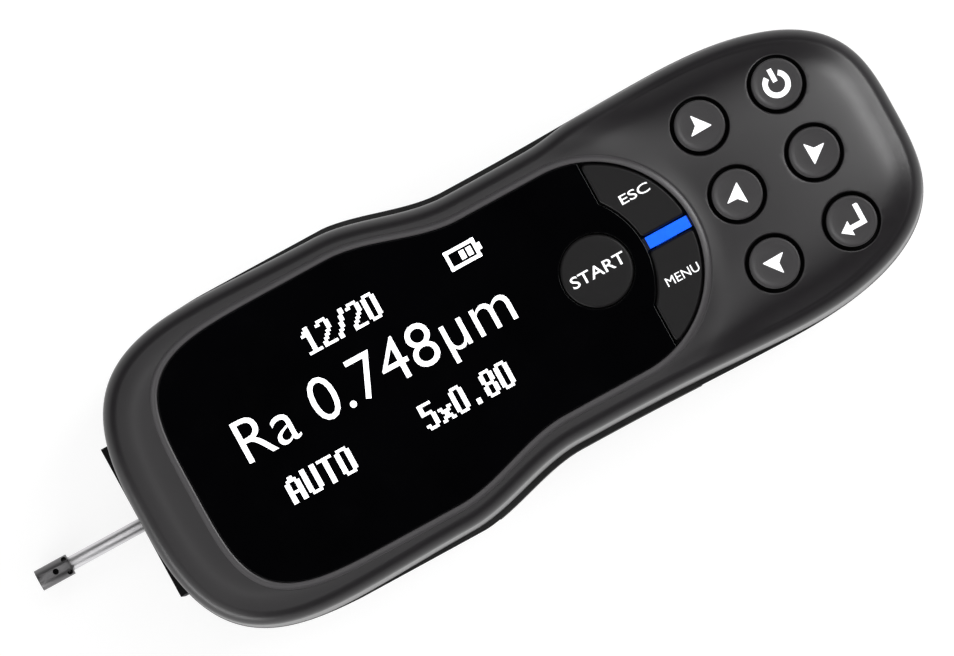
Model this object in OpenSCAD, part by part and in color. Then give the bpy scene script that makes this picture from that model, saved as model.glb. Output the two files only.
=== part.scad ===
// Handheld surface roughness tester: a waisted two-shell case with a black window,
// nine keys, a motor-driven traverse and a skidded pickup that reaches out of the nose.
// X runs from the nose (pickup side) to the tail, Z is up, the table is at Z = 0,
// and the origin lies on the table under the middle of the whole tester.

/* [Case] */
// Length of the case, nose to tail
body_l = 140; // [138:1:150]
// Half width of the head
head_half = 27.95; // [27.5:0.05:30]
// Half width of the neck
neck_half = 23.75; // [23.4:0.05:25]
// Half width of the handle
handle_half = 24.3; // [24:0.05:26]
// Height of the window rim above the table
top_z = 47.5; // [47:0.1:50]
// Height of the parting line above the table
seam_z = 26; // [25.6:0.1:27.5]
// Thickness of the side walls
wall = 2.2; // [2:0.1:2.6]
// Thickness of the top
top_t = 3.5; // [3.3:0.1:4]
// Thickness of the floor
floor_t = 2.2; // [2:0.1:2.6]
// Radius of the upper edge
edge_r = 3; // [2:0.1:3.4]
// Radius of the lower edge
base_r = 4; // [2:0.1:5]
// Slope of the rim between the upper edge and the window, in degrees
rim_slope = 14; // [8:1:18]
// Width of the sloping rim
rim_w = 5.5; // [5.2:0.1:5.8]
// Inward lean of the side walls, over their height
draft = 0.5; // [0.2:0.1:0.8]
// How far the sides of the handle fall below its middle
crown_h = 5; // [2:0.1:6]
// How far the tail falls below the window
tail_drop = 3.6; // [1:0.1:4.5]
// Height of the lip that keys the two shells together
lip_h = 2; // [1.2:0.1:2.6]
// Open line between the two shells
seam_gap = 0.5; // [0.3:0.1:0.8]

/* [Outline] */
// Length of the curve that rounds the nose
nose_l = 41; // [36:1:44]
// Length of the curve that rounds the tail
tail_l = 33; // [30:1:36]
// Distance from the nose to the start of the shoulder
shoulder_setback = 47; // [45:0.5:50]
// Length of the shoulder
shoulder_l = 22; // [18:0.5:26]
// Distance from the nose to the start of the handle's swell
neck_setback = 75; // [72:1:80]
// Length of the handle's swell
handle_l = 34; // [26:1:40]

/* [Window] */
// Distance from the nose to the front edge of the window
lens_setback = 10.8; // [10:0.1:12]
// Half width of the window in the head
lens_head_half = 22.4; // [21.6:0.1:22.6]
// Radius of the window's round end, which is also its half width in the neck
lens_end_r = 17.8; // [17.4:0.1:18.2]
// Distance from the nose to the centre of the round end
lens_end_setback = 84; // [83:0.5:86]
// Thickness of the window
lens_t = 1.5; // [1.2:0.1:1.8]
// Depth of the window below its rim
lens_recess = 0.3; // [0.1:0.1:0.5]
// Distance from the nose to the middle of the display
view_setback = 45; // [44:0.5:46]

/* [Keys] */
// Radius of a round key
key_r = 4.15; // [3.8:0.05:4.3]
// Gap around a round key
key_gap = 0.65; // [0.4:0.05:0.8]
// Spacing of the key rows, along the handle
key_row = 14.15; // [14:0.05:15]
// Spacing of the key columns, across the handle
key_col = 12.6; // [12.4:0.1:13]
// Distance from the tail to the last row of keys
key_setback = 15.5; // [14:0.05:16]
// How far a key stands out of the handle
key_proud = 0.9; // [0.6:0.1:1.4]
// Travel of every key
key_travel = 0.8; // [0.5:0.05:1]
// Width and thickness of the flange that keeps a key in
key_flange = 1.2; // [0.8:0.1:1.3]
// Radius of the start key
start_r = 5.9; // [5.4:0.1:6.2]
// How far the start key and the corner keys stand out of the window
start_proud = 0.3; // [0.1:0.1:0.6]
// Radius of the inner curve of the corner keys
corner_in_r = 15.15; // [15:0.05:15.4]
// Distance from the window's round end to the centre of that inner curve
corner_in_back = 5.55; // [5.4:0.05:5.7]
// Distance from the window's round end to the straight side of the corner keys
corner_start = 6.3; // [6:0.1:7]
// Half width of the strip between the corner keys
strip_half = 1.3; // [1.2:0.05:1.6]
// Gap around the start key and the corner keys
corner_gap = 0.3; // [0.2:0.05:0.4]

/* [Board and battery] */
// Height of the underside of the main board
board_z = 33.4; // [33:0.1:34]
// Thickness of the main board
board_t = 1.6; // [1.2:0.1:1.7]
// Margin between the outline and the main board
board_margin = 4; // [3.6:0.1:4.2]
// Side of a key switch
switch_w = 5; // [4.5:0.1:6]
// Height of a key switch
switch_h = 2.5; // [2:0.1:2.8]
// Length of the display panel
panel_l = 57; // [54:0.5:58]
// Width of the display panel's dark border
panel_frame = 1.2; // [0.8:0.1:2]
// Thickness of the display panel
panel_t = 1.7; // [1.2:0.1:2]
// Length of the battery
battery_l = 35; // [30:1:36]
// Width of the battery
battery_w = 30; // [26:1:31]
// Height of the battery
battery_h = 13; // [10:1:15]
// Distance from the tail to the near end of the battery
battery_setback = 12.5; // [12.2:0.1:13.5]
// Width of the charging socket
socket_w = 7.7; // [7.5:0.1:8]
// Height of the charging socket
socket_h = 3.9; // [3.6:0.1:4.2]
// Length of the charging socket
socket_l = 9; // [8.5:0.1:9.4]

/* [Traverse drive] */
// Travel of the pickup
stroke = 12.5; // [8:0.5:13]
// Height of the drive screw and guide rods
drive_z = 16.5; // [16.4:0.1:16.8]
// Half spacing of the guide rods
rod_y = 10.5; // [10:0.1:11]
// Radius of the guide rods
rod_r = 1.5; // [1.2:0.1:1.6]
// Radius of the drive screw
screw_r = 2; // [1.8:0.1:2.2]
// Radius of the drive screw's journals
journal_r = 1.5; // [1.2:0.1:1.6]
// Half width of the drive frame
frame_half = 14.6; // [14:0.1:14.8]
// Thickness of the frame's end walls
frame_t = 3; // [2.5:0.1:3.2]
// Distance from the nose to the frame
frame_setback = 12; // [11.5:0.1:12.5]
// Length of the carriage
carriage_l = 14; // [12:0.5:15]
// Gear module
gear_m = 0.4; // [0.38:0.01:0.4]
// Teeth of the screw gear
gear_teeth = 32; // [30:1:32]
// Teeth of the motor pinion
pinion_teeth = 16; // [14:1:17]
// Width of the gears
gear_w = 3.5; // [2.5:0.1:3.8]
// Radius of the motor can
motor_r = 6; // [5.5:0.1:6.2]
// Height of the motor across its flats
motor_flat = 10; // [9:0.1:10.4]
// Length of the motor can
motor_l = 15; // [12:0.5:15.5]
// Length of the gear head
head_l = 9; // [7:0.5:9.5]

/* [Pickup] */
// Height of the pickup's axis
pickup_z = 9; // [8.8:0.1:9.4]
// Radius of the pickup's barrel
barrel_r = 3.5; // [3.3:0.1:3.7]
// Radius of the pickup's tube
tube_r = 1.2; // [1.1:0.05:1.4]
// Wall of the pickup's tube
tube_wall = 0.35; // [0.25:0.05:0.4]
// Reach of the pickup in front of the nose
pickup_reach = 20; // [18:0.5:24]
// Length of the nosepiece
tip_l = 5.9; // [5.4:0.1:6.4]
// Radius of the nosepiece
tip_r = 1.8; // [1.7:0.05:2]
// Height of the skid above the table
skid_z = 0.3; // [0.2:0.05:0.6]
// Radius of the skid's underside
skid_r = 12; // [8:1:20]
// Radius of the stylus lever
lever_r = 0.4; // [0.3:0.05:0.45]

/* [Trim and fasteners] */
// Height of the feet under the case
foot_h = 1; // [0.8:0.1:1.4]
// Radius of a foot
foot_r = 5; // [4:0.1:5.4]
// Width of the front plate
plate_w = 27.4; // [26:0.1:28]
// Thickness of the front plate
plate_t = 2.4; // [2.2:0.1:2.8]
// How far the front plate stands out of the nose
plate_proud = 0.2; // [0.1:0.05:0.5]
// Length of the side grips
grip_l = 39.9; // [30:0.1:42]
// Distance from the nose to the side grips
grip_setback = 51.5; // [50:0.1:54]
// How far the side grips stand out of the case
grip_proud = 0.2; // [0.1:0.05:0.5]
// Depth of the side grips in the case wall
grip_depth = 0.9; // [0.8:0.1:1.1]
// Radius of the case screws
case_screw_r = 1.5; // [1.3:0.1:1.6]
// Radius of the small screws
small_screw_r = 1.1; // [1:0.05:1.2]
// Running clearance of shafts, rods and pins
run_gap = 0.03; // [0.02:0.01:0.05]
// Clearance around pieces that are set in place
set_gap = 0.1; // [0.05:0.01:0.15]

/* [Hidden] */
$fn = 48;

// Colours
shell_grey = [0.25, 0.24, 0.25];
case_black = [0.07, 0.07, 0.08];
lens_black = [0.02, 0.02, 0.025];
key_grey = [0.2, 0.19, 0.2];
rubber_black = [0.05, 0.05, 0.05];
steel = [0.7, 0.7, 0.72];
brass = [0.78, 0.62, 0.3];
alloy = [0.6, 0.61, 0.63];
board_green = [0.08, 0.3, 0.18];
light_blue = [0.1, 0.4, 0.95];
battery_blue = [0.16, 0.25, 0.4];
nylon_white = [0.85, 0.85, 0.8];
copper = [0.72, 0.42, 0.24];
far = 200;
over = 1;

// Places along the case
nose_x = (pickup_reach - body_l) / 2;
tail_x = nose_x + body_l;
mid_x = nose_x + body_l / 2;
shoulder_x = nose_x + shoulder_setback;
neck_x = nose_x + neck_setback;
nose_p = 4.6;
nose_q = 2.8;
tail_p = 2.4;
tail_q = 3.2;
crown_lead = 12;
crown_x = nose_x + lens_end_setback + lens_end_r - crown_lead;
crown_l = 18;
crown_power = 3;
fall_x = tail_x - tail_l;
drop_blend = 12;

// Case outline: half width at x, and the ring of points that follows it
function smooth(t) = let (c = max(0, min(1, t))) c * c * (3 - 2 * c);
function end_curve(d, l, p, q) = d >= l ? 1 : pow(max(0, 1 - pow((l - d) / l, p)), 1 / q);
function waist(x, wide, narrow) = wide - (wide - narrow) * smooth((x - shoulder_x) / shoulder_l);
function body_half(x) =
    (waist(x, head_half, neck_half) + (handle_half - neck_half) * smooth((x - neck_x) / handle_l))
    * end_curve(x - nose_x, nose_l, nose_p, nose_q)
    * end_curve(tail_x - x, tail_l, tail_p, tail_q);

nose_steps = 14;
mid_steps = 16;
tail_steps = 12;
mid_l = body_l - nose_l - tail_l;
stations = concat(
    [for (i = [0:nose_steps - 1]) nose_x + nose_l * (1 - cos(90 * i / nose_steps))],
    [for (i = [0:mid_steps - 1]) nose_x + nose_l + mid_l * i / mid_steps],
    [for (i = [0:tail_steps]) tail_x - tail_l * (1 - sin(90 * i / tail_steps))]
);
last = len(stations) - 1;
count = 2 * last;
outline = [for (i = [0:count - 1])
    i <= last ? [stations[i], -body_half(stations[i])]
              : [stations[count - i], body_half(stations[count - i])]];
function unit(v) = v / norm(v);
function turn_out(v) = [v.y, -v.x];
normals = [for (i = [0:count - 1])
    turn_out(unit(outline[(i + 1) % count] - outline[(i + count - 1) % count]))];
function inset(d) = [for (i = [0:count - 1]) outline[i] - d * normals[i]];

// Height of the top: flat in the head, crowned on the handle, falling to the tail
function drop(x, y) =
    crown_h * smooth((x - crown_x) / crown_l) * pow(abs(y) / handle_half, crown_power)
    + tail_drop * pow(max(0, (x - fall_x) / (tail_x - fall_x)), 2);
function lower(p) = p - [0, 0, drop(p.x, p.y) * max(0, min(1, (p.z - seam_z) / drop_blend))];
function surface_z(p) = top_z - drop(p.x, p.y);

// Rings of a shell, and the solid skinned over a list of rings
function ring(dz) = [for (p = inset(dz[0])) lower([p.x, p.y, dz[1]])];
function spread_ring(dz, k) = [for (p = inset(dz[0]))
    lower([mid_x + (p.x - mid_x) * (0.9 + 0.1 * k), p.y * k, dz[1]])];
function turned(face, flip) = flip ? [face[2], face[1], face[0]] : face;
function strip_faces(base, flip) = [for (i = [0:last - 1])
    let (a = i, b = i + 1, c = count - i - 1, d = (count - i) % count)
    each concat(
        a == d ? [] : [turned([base + d, base + c, base + a], flip)],
        b == c ? [] : [turned([base + c, base + b, base + a], flip)]
    )];
function side_faces(rings, flip) = [for (r = [0:rings - 2], i = [0:count - 1])
    let (a = r * count + i, b = r * count + (i + 1) % count)
    each [turned([a, b, b + count], flip), turned([a, b + count, a + count], flip)]];

module skin(rings, flip) {
    polyhedron(
        points = [for (r = rings) each r],
        faces = concat(
            strip_faces(0, flip),
            side_faces(len(rings), flip),
            strip_faces((len(rings) - 1) * count, !flip)
        )
    );
}

// Section of the shells, as pairs of inset and height
edge_steps = 5;
edge_end = 90 - rim_slope;
edge_d = draft + edge_r * (1 - cos(edge_end));
edge_z = top_z - edge_r * sin(edge_end) - (rim_w - edge_d) * tan(rim_slope);
lip_in = wall / 2;
edge_arc = [for (i = [0:edge_steps]) let (a = edge_end * i / edge_steps)
    [draft + edge_r * (1 - cos(a)), edge_z + edge_r * sin(a)]];
base_arc = [for (i = [0:edge_steps]) let (a = 90 * i / edge_steps)
    [draft + base_r * (1 - cos(a)), foot_h + base_r * (1 - sin(a))]];
crown_steps = [0.16, 0.44, 0.72];
function reversed(list) = [for (i = [len(list) - 1:-1:0]) list[i]];
function moved(list, by) = [for (p = list) p + by];

rim = [rim_w, top_z];
rim_inner = rim + [wall, -top_t];
top_rings = concat(
    [for (k = crown_steps) spread_ring(rim, k)],
    [ring(rim)],
    [for (p = reversed(edge_arc)) ring(p)],
    [ring([0, seam_z]), ring([lip_in, seam_z])],
    [ring([lip_in, seam_z + lip_h + set_gap]), ring([wall, seam_z + lip_h + set_gap])],
    [for (p = moved(edge_arc, [wall, -top_t])) ring(p)],
    [ring(rim_inner)],
    [for (k = reversed(crown_steps)) spread_ring(rim_inner, k)]
);
bottom_rings = concat(
    [for (p = reversed(base_arc)) ring(p)],
    [ring([0, seam_z - seam_gap]), ring([lip_in + set_gap, seam_z - seam_gap])],
    [ring([lip_in + set_gap, seam_z + lip_h]), ring([wall, seam_z + lip_h])],
    [for (p = moved(base_arc, [wall, floor_t])) ring(p)]
);

// Heights
floor_z = foot_h + floor_t;
lens_z = top_z - lens_recess - lens_t;
ledge_z = top_z - top_t;
board_top = board_z + board_t;
panel_z = ledge_z - set_gap - panel_t;
panel_w = 2 * (neck_half - rim_w - wall - set_gap);
view_x = nose_x + view_setback;
view_l = panel_l - 2 * panel_frame;
view_w = panel_w - 2 * panel_frame;
switch_top = board_top + switch_h;
stem_z = switch_top + key_travel + set_gap;
stem_r = switch_w / 4;

// Key places: [x, y] of each round key
row_b = tail_x - key_setback;
row_a = row_b - key_row;
right_at = [row_a, key_col];
up_at = [row_a, 0];
left_at = [row_a, -key_col];
power_at = [row_b, key_col];
down_at = [row_b, 0];
enter_at = [row_b, -key_col];
round_keys = [right_at, up_at, left_at, power_at, down_at, enter_at];
lens_end_x = nose_x + lens_end_setback;
start_back = 0.6;
start_at = [lens_end_x + start_back, 0];
corner_stem_back = 10.2;
corner_stem_half = 9.4;
corner_stem = [lens_end_x + corner_stem_back, corner_stem_half];
escape_at = corner_stem;
menu_at = [corner_stem.x, -corner_stem.y];
key_web = 2.4;
flange_pocket = 4;
key_pocket = key_r + key_flange + set_gap;

// Posts that take the case screws and the board screws
front_post_setback = 11.5;
front_post_side = 4.2;
front_post = [nose_x + front_post_setback, frame_half + front_post_side];
rear_post_setback = 7;
rear_post_half = 8.5;
rear_post = [tail_x - rear_post_setback, rear_post_half];
board_post_setback = 21;
board_post_side = 7;
board_front_post = [nose_x + board_post_setback, head_half - board_post_side];
rear_post_side = 6.8;
board_rear_post = [row_a + key_row / 2, handle_half - rear_post_side];
function both_sides(p) = [p, [p.x, -p.y]];
case_posts = concat(both_sides(front_post), both_sides(rear_post));
board_posts = concat(both_sides(board_front_post), both_sides(board_rear_post));
post_wall = 1.1;
post_sink = 0.6 * top_t;
case_head_rim = 1.25;
case_head_r = case_screw_r + case_head_rim;
case_head_h = 2.4;
case_seat_drop = 12;
case_seat_z = seam_z - case_seat_drop;
insert_wall = 0.6;
insert_r = case_screw_r + insert_wall;
insert_l = 6.5;
case_screw_end = seam_z + insert_l;
screw_gap = 0.2;
small_head_rim = 1;
small_head_r = small_screw_r + small_head_rim;
small_head_h = 1.6;
plate_head_h = 1;
top_post_r = insert_r + post_wall + 2 * screw_gap;
base_post_r = case_head_r + screw_gap + post_wall;
board_post_wall = 1.4;
board_post_r = small_screw_r + board_post_wall;

module at(p, z) {
    translate([p.x, p.y, z]) children();
}

module rod_x(x0, x1, r, y = 0, z = 0) {
    translate([x0, y, z]) rotate([0, 90, 0]) cylinder(r = r, h = x1 - x0);
}

module box(low, high) {
    translate(low) cube(high - low);
}

// Window outline: rounded front, waisted sides and a round end, grown by g
lens_nose_l = 30;
lens_nose_p = 4.8;
lens_nose_q = 3.9;
lens_front = nose_x + lens_setback;
lens_steps = 16;
lens_side_steps = 14;
lens_arc_steps = 18;
lens_mid = lens_front + lens_nose_l;
lens_stations = concat(
    [for (i = [1:lens_steps]) lens_front + lens_nose_l * (1 - cos(90 * i / lens_steps))],
    [for (i = [1:lens_side_steps]) lens_mid + (lens_end_x - lens_mid) * i / lens_side_steps]
);
function lens_half(x) = waist(x, lens_head_half, lens_end_r)
    * end_curve(x - lens_front, lens_nose_l, lens_nose_p, lens_nose_q);

module lens_outline(g) {
    side = concat(
        [for (x = lens_stations)
            [x - g * (lens_end_x - x) / (lens_end_x - lens_front), lens_half(x) + g]],
        [for (i = [1:lens_arc_steps - 1]) let (a = 90 - 90 * i / lens_arc_steps)
            [lens_end_x, 0] + (lens_end_r + g) * [cos(a), sin(a)]]
    );
    polygon(concat(
        [[lens_front - g, 0]], side,
        [[lens_end_x + lens_end_r + g, 0]], [for (p = reversed(side)) [p.x, -p.y]]
    ));
}

// Corner key outline on the +Y side: out_g grows its outer curve, g its inner curve
// and side_g its straight sides
module corner_outline(out_g, g, side_g) {
    difference() {
        lens_outline(out_g);
        translate([lens_end_x - corner_in_back, 0]) circle(r = corner_in_r - g, $fn = 96);
        translate([-far, -far]) square([far + lens_end_x + corner_start - side_g, 2 * far]);
        translate([-far, -far]) square([2 * far, far + strip_half - side_g]);
    }
}

module pocket_key_openings(depth_z) {
    translate([0, 0, depth_z]) {
        for (m = [0, 1]) mirror([0, m, 0])
            linear_extrude(far) corner_outline(set_gap, corner_gap, corner_gap);
        at(start_at, 0) cylinder(r = start_r + corner_gap, h = far);
    }
}

// Light guide between the corner keys
guide_half = strip_half - corner_gap;
guide_x0 = lens_end_x - corner_in_back + corner_in_r;
guide_x1 = lens_end_x + lens_end_r - corner_gap;
guide_foot_back = 11;
guide_foot_l = 4;
guide_foot = [lens_end_x + guide_foot_back, lens_end_x + guide_foot_back + guide_foot_l];
guide_neck = 0.7 * guide_half;
led_h = 1;

module guide_foot_box(g) {
    box([guide_foot[0] - g, -guide_neck - g, board_top + led_h + set_gap - g],
        [guide_foot[1] + g, guide_neck + g, lens_z + g]);
}

// Case

board_screw_l = 5;
socket_gap = 0.4;
socket_cut = wall + 3;

module top_shell() {
    color(shell_grey) difference() {
        union() {
            skin(top_rings, false);
            for (p = case_posts) at(p, seam_z)
                cylinder(r = top_post_r, h = surface_z(p) - post_sink - seam_z);
            for (p = board_posts) at(p, board_top)
                cylinder(r = board_post_r, h = surface_z(p) - post_sink - board_top);
        }
        translate([0, 0, lens_z]) linear_extrude(far) lens_outline(set_gap);
        box([view_x - view_l / 2, -view_w / 2, ledge_z - over],
            [view_x + view_l / 2, view_w / 2, lens_z + over]);
        pocket_key_openings(ledge_z - over);
        for (m = [0, 1]) mirror([0, m, 0]) translate([0, 0, ledge_z - flange_pocket])
            linear_extrude(flange_pocket)
                corner_outline(key_flange + corner_gap, key_flange + corner_gap, set_gap);
        guide_foot_box(set_gap);
        for (p = round_keys) {
            at(p, 0) cylinder(r = key_r + key_gap, h = far);
            at(p, surface_z(p) - key_web - far) cylinder(r = key_pocket, h = far);
        }
        for (p = case_posts) at(p, seam_z - over) cylinder(r = insert_r, h = insert_l + over);
        for (p = board_posts) at(p, board_top - over)
            cylinder(r = small_screw_r, h = board_screw_l + over);
        box([tail_x - socket_cut, -socket_w / 2 - socket_gap, board_z - socket_h - socket_gap],
            [tail_x + over, socket_w / 2 + socket_gap, board_z + socket_gap]);
    }
}

// Front plate in the nose, and the pad that carries it
plate_x0 = nose_x - plate_proud;
plate_x1 = plate_x0 + plate_t;
plate_lift = 1.4;
seam_land = 1.6;
plate_z0 = foot_h + plate_lift;
plate_z1 = seam_z - seam_land;
pad_t = 2.4;
pickup_gap = 1.1;
pickup_hole_r = barrel_r + pickup_gap;
plate_screw_in = 2.6;
plate_screw_l = 4;
plate_screw_at = [for (s = [-1, 1], z = [plate_z0 + plate_screw_in, plate_z1 - plate_screw_in])
    [s * (plate_w / 2 - plate_screw_in), z]];
plate_pad = 2;
plate_seat_x = plate_x0 + plate_head_h + screw_gap;

// Frame bosses and their screws
frame_x0 = nose_x + frame_setback;
frame_x1 = frame_x0 + frame_t;
carriage_front = 3;
barrel_in = 2;
plug_l = 4;
carriage_end_gap = 1;
carriage_rear = plug_l - barrel_in + carriage_end_gap;
frame_span = carriage_front + carriage_l + stroke + carriage_rear;
frame_x2 = frame_x1 + frame_span;
frame_x3 = frame_x2 + frame_t;
ear_l = 7;
ear_in = 8;
ear_t = 2.5;
ear_z = 6;
ear_y = (ear_in + frame_half) / 2;
frame_bosses = [for (s = [-1, 1], x = [frame_x1 + ear_l / 2, frame_x2 - ear_l / 2]) [x, ear_y * s]];
frame_boss_r = 3;
frame_screw_l = 5.5;

battery_x1 = tail_x - battery_setback;
battery_x0 = battery_x1 - battery_l;
rib_t = 1.5;
rib_h = 6;
rib_y = battery_w / 2 + set_gap;
foot_sink = 0.6;
front_foot_setback = 22;
front_foot_side = 12;
rear_foot_setback = 20;
rear_foot_side = 10.3;
front_foot = [nose_x + front_foot_setback, head_half - front_foot_side];
rear_foot = [tail_x - rear_foot_setback, handle_half - rear_foot_side];
feet_at = concat(both_sides(front_foot), both_sides(rear_foot));
grip_lift = 8;
grip_z0 = foot_h + grip_lift;
grip_z1 = seam_z - seam_land;
grip_x0 = nose_x + grip_setback;
grip_x1 = grip_x0 + grip_l;
grip_steps = 16;

// Strip of the case outline on the +Y side, from depth inside it to proud outside it
function side_point(x, d) = let (e = 0.05, n = unit([body_half(x - e) - body_half(x + e), 2 * e]))
    [x, body_half(x)] + d * n;
module side_strip(x0, x1, depth, proud) {
    xs = [for (i = [0:grip_steps]) x0 + (x1 - x0) * i / grip_steps];
    polygon(concat([for (x = xs) side_point(x, proud)], [for (x = reversed(xs)) side_point(x, -depth)]));
}

module bottom_shell() {
    color(case_black) difference() {
        union() {
            skin(bottom_rings, true);
            box([plate_x1, -plate_w / 2 - plate_pad, foot_h + base_r / 2],
                [plate_x1 + pad_t, plate_w / 2 + plate_pad, plate_z1 + plate_pad / 2]);
            for (p = case_posts) at(p, foot_h + floor_t / 2)
                cylinder(r = base_post_r, h = seam_z - foot_h - floor_t / 2);
            for (p = frame_bosses) at(p, floor_z - over)
                cylinder(r = frame_boss_r, h = ear_z - floor_z + over);
            for (m = [0, 1]) mirror([0, m, 0]) translate([battery_x0, rib_y, floor_z - over])
                cube([battery_l, rib_t, rib_h + over]);
        }
        box([plate_x0 - over, -plate_w / 2 - set_gap, plate_z0 - set_gap],
            [plate_x1, plate_w / 2 + set_gap, plate_z1 + set_gap]);
        rod_x(plate_x0, plate_x1 + pad_t + over, pickup_hole_r, 0, pickup_z);
        for (p = plate_screw_at) rod_x(plate_x0, plate_x0 + plate_screw_l, small_screw_r, p[0], p[1]);
        for (p = case_posts) {
            at(p, 0) cylinder(r = case_head_r + screw_gap, h = case_seat_z);
            at(p, 0) cylinder(r = case_screw_r + screw_gap, h = seam_z + over);
        }
        for (p = frame_bosses) at(p, ear_z + ear_t - frame_screw_l)
            cylinder(r = small_screw_r, h = frame_screw_l);
        for (p = feet_at) at(p, 0) cylinder(r = foot_r + set_gap, h = foot_h + foot_sink);
        for (m = [0, 1]) mirror([0, m, 0]) translate([0, 0, grip_z0 - set_gap])
            linear_extrude(grip_z1 - grip_z0 + 2 * set_gap)
                side_strip(grip_x0 - set_gap, grip_x1 + set_gap, grip_depth + set_gap / 2, wall);
    }
}

module front_plate() {
    color(case_black) difference() {
        box([plate_x0, -plate_w / 2, plate_z0], [plate_x1, plate_w / 2, plate_z1]);
        rod_x(plate_x0 - over, plate_x1 + over, pickup_hole_r, 0, pickup_z);
        for (p = plate_screw_at) {
            rod_x(plate_x0 - over, plate_x1 + over, small_screw_r + screw_gap, p[0], p[1]);
            rod_x(plate_x0 - over, plate_seat_x, small_head_r + set_gap, p[0], p[1]);
        }
    }
}

module plate_screws() {
    color(steel) for (p = plate_screw_at) {
        rod_x(plate_seat_x - plate_head_h, plate_seat_x, small_head_r, p[0], p[1]);
        rod_x(plate_seat_x, plate_x0 + plate_screw_l, small_screw_r, p[0], p[1]);
    }
}

module display_lens() {
    color(lens_black) difference() {
        translate([0, 0, lens_z]) linear_extrude(lens_t) lens_outline(0);
        pocket_key_openings(0);
        box([guide_x0 - over, -strip_half, 0], [far, strip_half, far]);
    }
}

module light_guide() {
    color(light_blue) union() {
        box([guide_x0 + corner_gap, -guide_half, lens_z],
            [guide_x1, guide_half, lens_z + lens_t + set_gap]);
        guide_foot_box(0);
    }
}

module grip() {
    translate([0, 0, grip_z0]) linear_extrude(grip_z1 - grip_z0)
        side_strip(grip_x0, grip_x1, grip_depth, grip_proud);
}

module left_grip() {
    color(rubber_black) grip();
}

module right_grip() {
    color(rubber_black) mirror([0, 1, 0]) grip();
}

module rubber_feet() {
    color(rubber_black) for (p = feet_at) at(p, 0) cylinder(r = foot_r, h = foot_h + foot_sink);
}

module case_screws() {
    color(steel) for (p = case_posts) {
        at(p, case_seat_z - case_head_h) cylinder(r = case_head_r, h = case_head_h);
        at(p, case_seat_z) cylinder(r = case_screw_r, h = case_screw_end - case_seat_z);
    }
}

module screw_inserts() {
    color(brass) for (p = case_posts) at(p, seam_z) difference() {
        cylinder(r = insert_r, h = insert_l);
        translate([0, 0, -over]) cylinder(r = case_screw_r + run_gap, h = insert_l + 2 * over);
    }
}

// Keys

module round_key(p) {
    flange_top = surface_z(p) - key_web - set_gap / 2;
    color(key_grey) {
        at(p, flange_top - over) cylinder(r = key_r, h = surface_z(p) + key_proud - flange_top + over);
        at(p, flange_top - key_flange) cylinder(r = key_r + key_flange, h = key_flange);
        at(p, stem_z) cylinder(r = stem_r, h = flange_top - stem_z - key_flange / 2);
    }
}

module up_key() {
    round_key(up_at);
}

module down_key() {
    round_key(down_at);
}

module left_key() {
    round_key(left_at);
}

module right_key() {
    round_key(right_at);
}

module power_key() {
    round_key(power_at);
}

module enter_key() {
    round_key(enter_at);
}

pocket_flange_top = ledge_z - set_gap / 2;
pocket_key_top = lens_z + lens_t + start_proud;
pocket_cap_h = pocket_key_top - pocket_flange_top + over;

module start_key() {
    color(key_grey) {
        at(start_at, pocket_flange_top - over) cylinder(r = start_r, h = pocket_cap_h);
        at(start_at, pocket_flange_top - key_flange) cylinder(r = start_r + key_flange, h = key_flange);
        at(start_at, stem_z) cylinder(r = stem_r, h = pocket_flange_top - stem_z - key_flange / 2);
    }
}

module corner_key() {
    color(key_grey) {
        translate([0, 0, pocket_flange_top - over]) linear_extrude(pocket_cap_h)
            corner_outline(set_gap - corner_gap, 0, 0);
        translate([0, 0, pocket_flange_top - key_flange]) linear_extrude(key_flange)
            corner_outline(key_flange, key_flange, 0);
        at(corner_stem, stem_z) cylinder(r = stem_r, h = pocket_flange_top - stem_z - key_flange / 2);
    }
}

module escape_key() {
    corner_key();
}

module menu_key() {
    mirror([0, 1, 0]) corner_key();
}

// Board, display and battery

board_front_gap = 13;
board_rear_gap = 11;
board_x0 = nose_x + board_front_gap;
board_x1 = tail_x - board_rear_gap;
socket_sink = 0.8;
socket_x1 = tail_x - socket_sink;
socket_x0 = socket_x1 - socket_l;
tongue_side = 0.9;
tongue_half = socket_w / 2 + tongue_side;
tongue_gap = 1.4;
tongue_x1 = tail_x - wall - tongue_gap;

module main_board() {
    color(board_green) difference() {
        translate([0, 0, board_z]) linear_extrude(board_t) {
            intersection() {
                polygon(inset(board_margin));
                translate([board_x0, -far]) square([board_x1 - board_x0, 2 * far]);
            }
            translate([board_x1 - over, -tongue_half])
                square([tongue_x1 - board_x1 + over, 2 * tongue_half]);
        }
        for (p = board_posts) at(p, 0) cylinder(r = small_screw_r + screw_gap, h = far);
        for (p = case_posts) at(p, 0) cylinder(r = top_post_r + set_gap, h = far);
    }
}

module board_screws() {
    color(steel) for (p = board_posts) {
        at(p, board_z - small_head_h) cylinder(r = small_head_r, h = small_head_h);
        at(p, board_z) cylinder(r = small_screw_r, h = board_t + board_screw_l - screw_gap);
    }
}

module key_switches() {
    color(case_black) for (p = concat(round_keys, [start_at, escape_at, menu_at]))
        at(p, board_top) translate([-switch_w / 2, -switch_w / 2, 0]) cube([switch_w, switch_w, switch_h]);
}

chips = [[-15, -8, 14, 14], [11, 6, 10, 10], [31, -9, 7, 12], [55, 4, 12, 8]];
chip_h = 1.4;

module board_chips() {
    color(case_black) for (c = chips)
        translate([view_x + c[0] - c[2] / 2, c[1] - c[3] / 2, board_z - chip_h])
            cube([c[2], c[3], chip_h]);
}

module status_led() {
    color(nylon_white) box([guide_foot[0], -guide_half, board_top],
        [guide_foot[1], guide_half, board_top + led_h]);
}

carrier_wall = 2;

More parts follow.
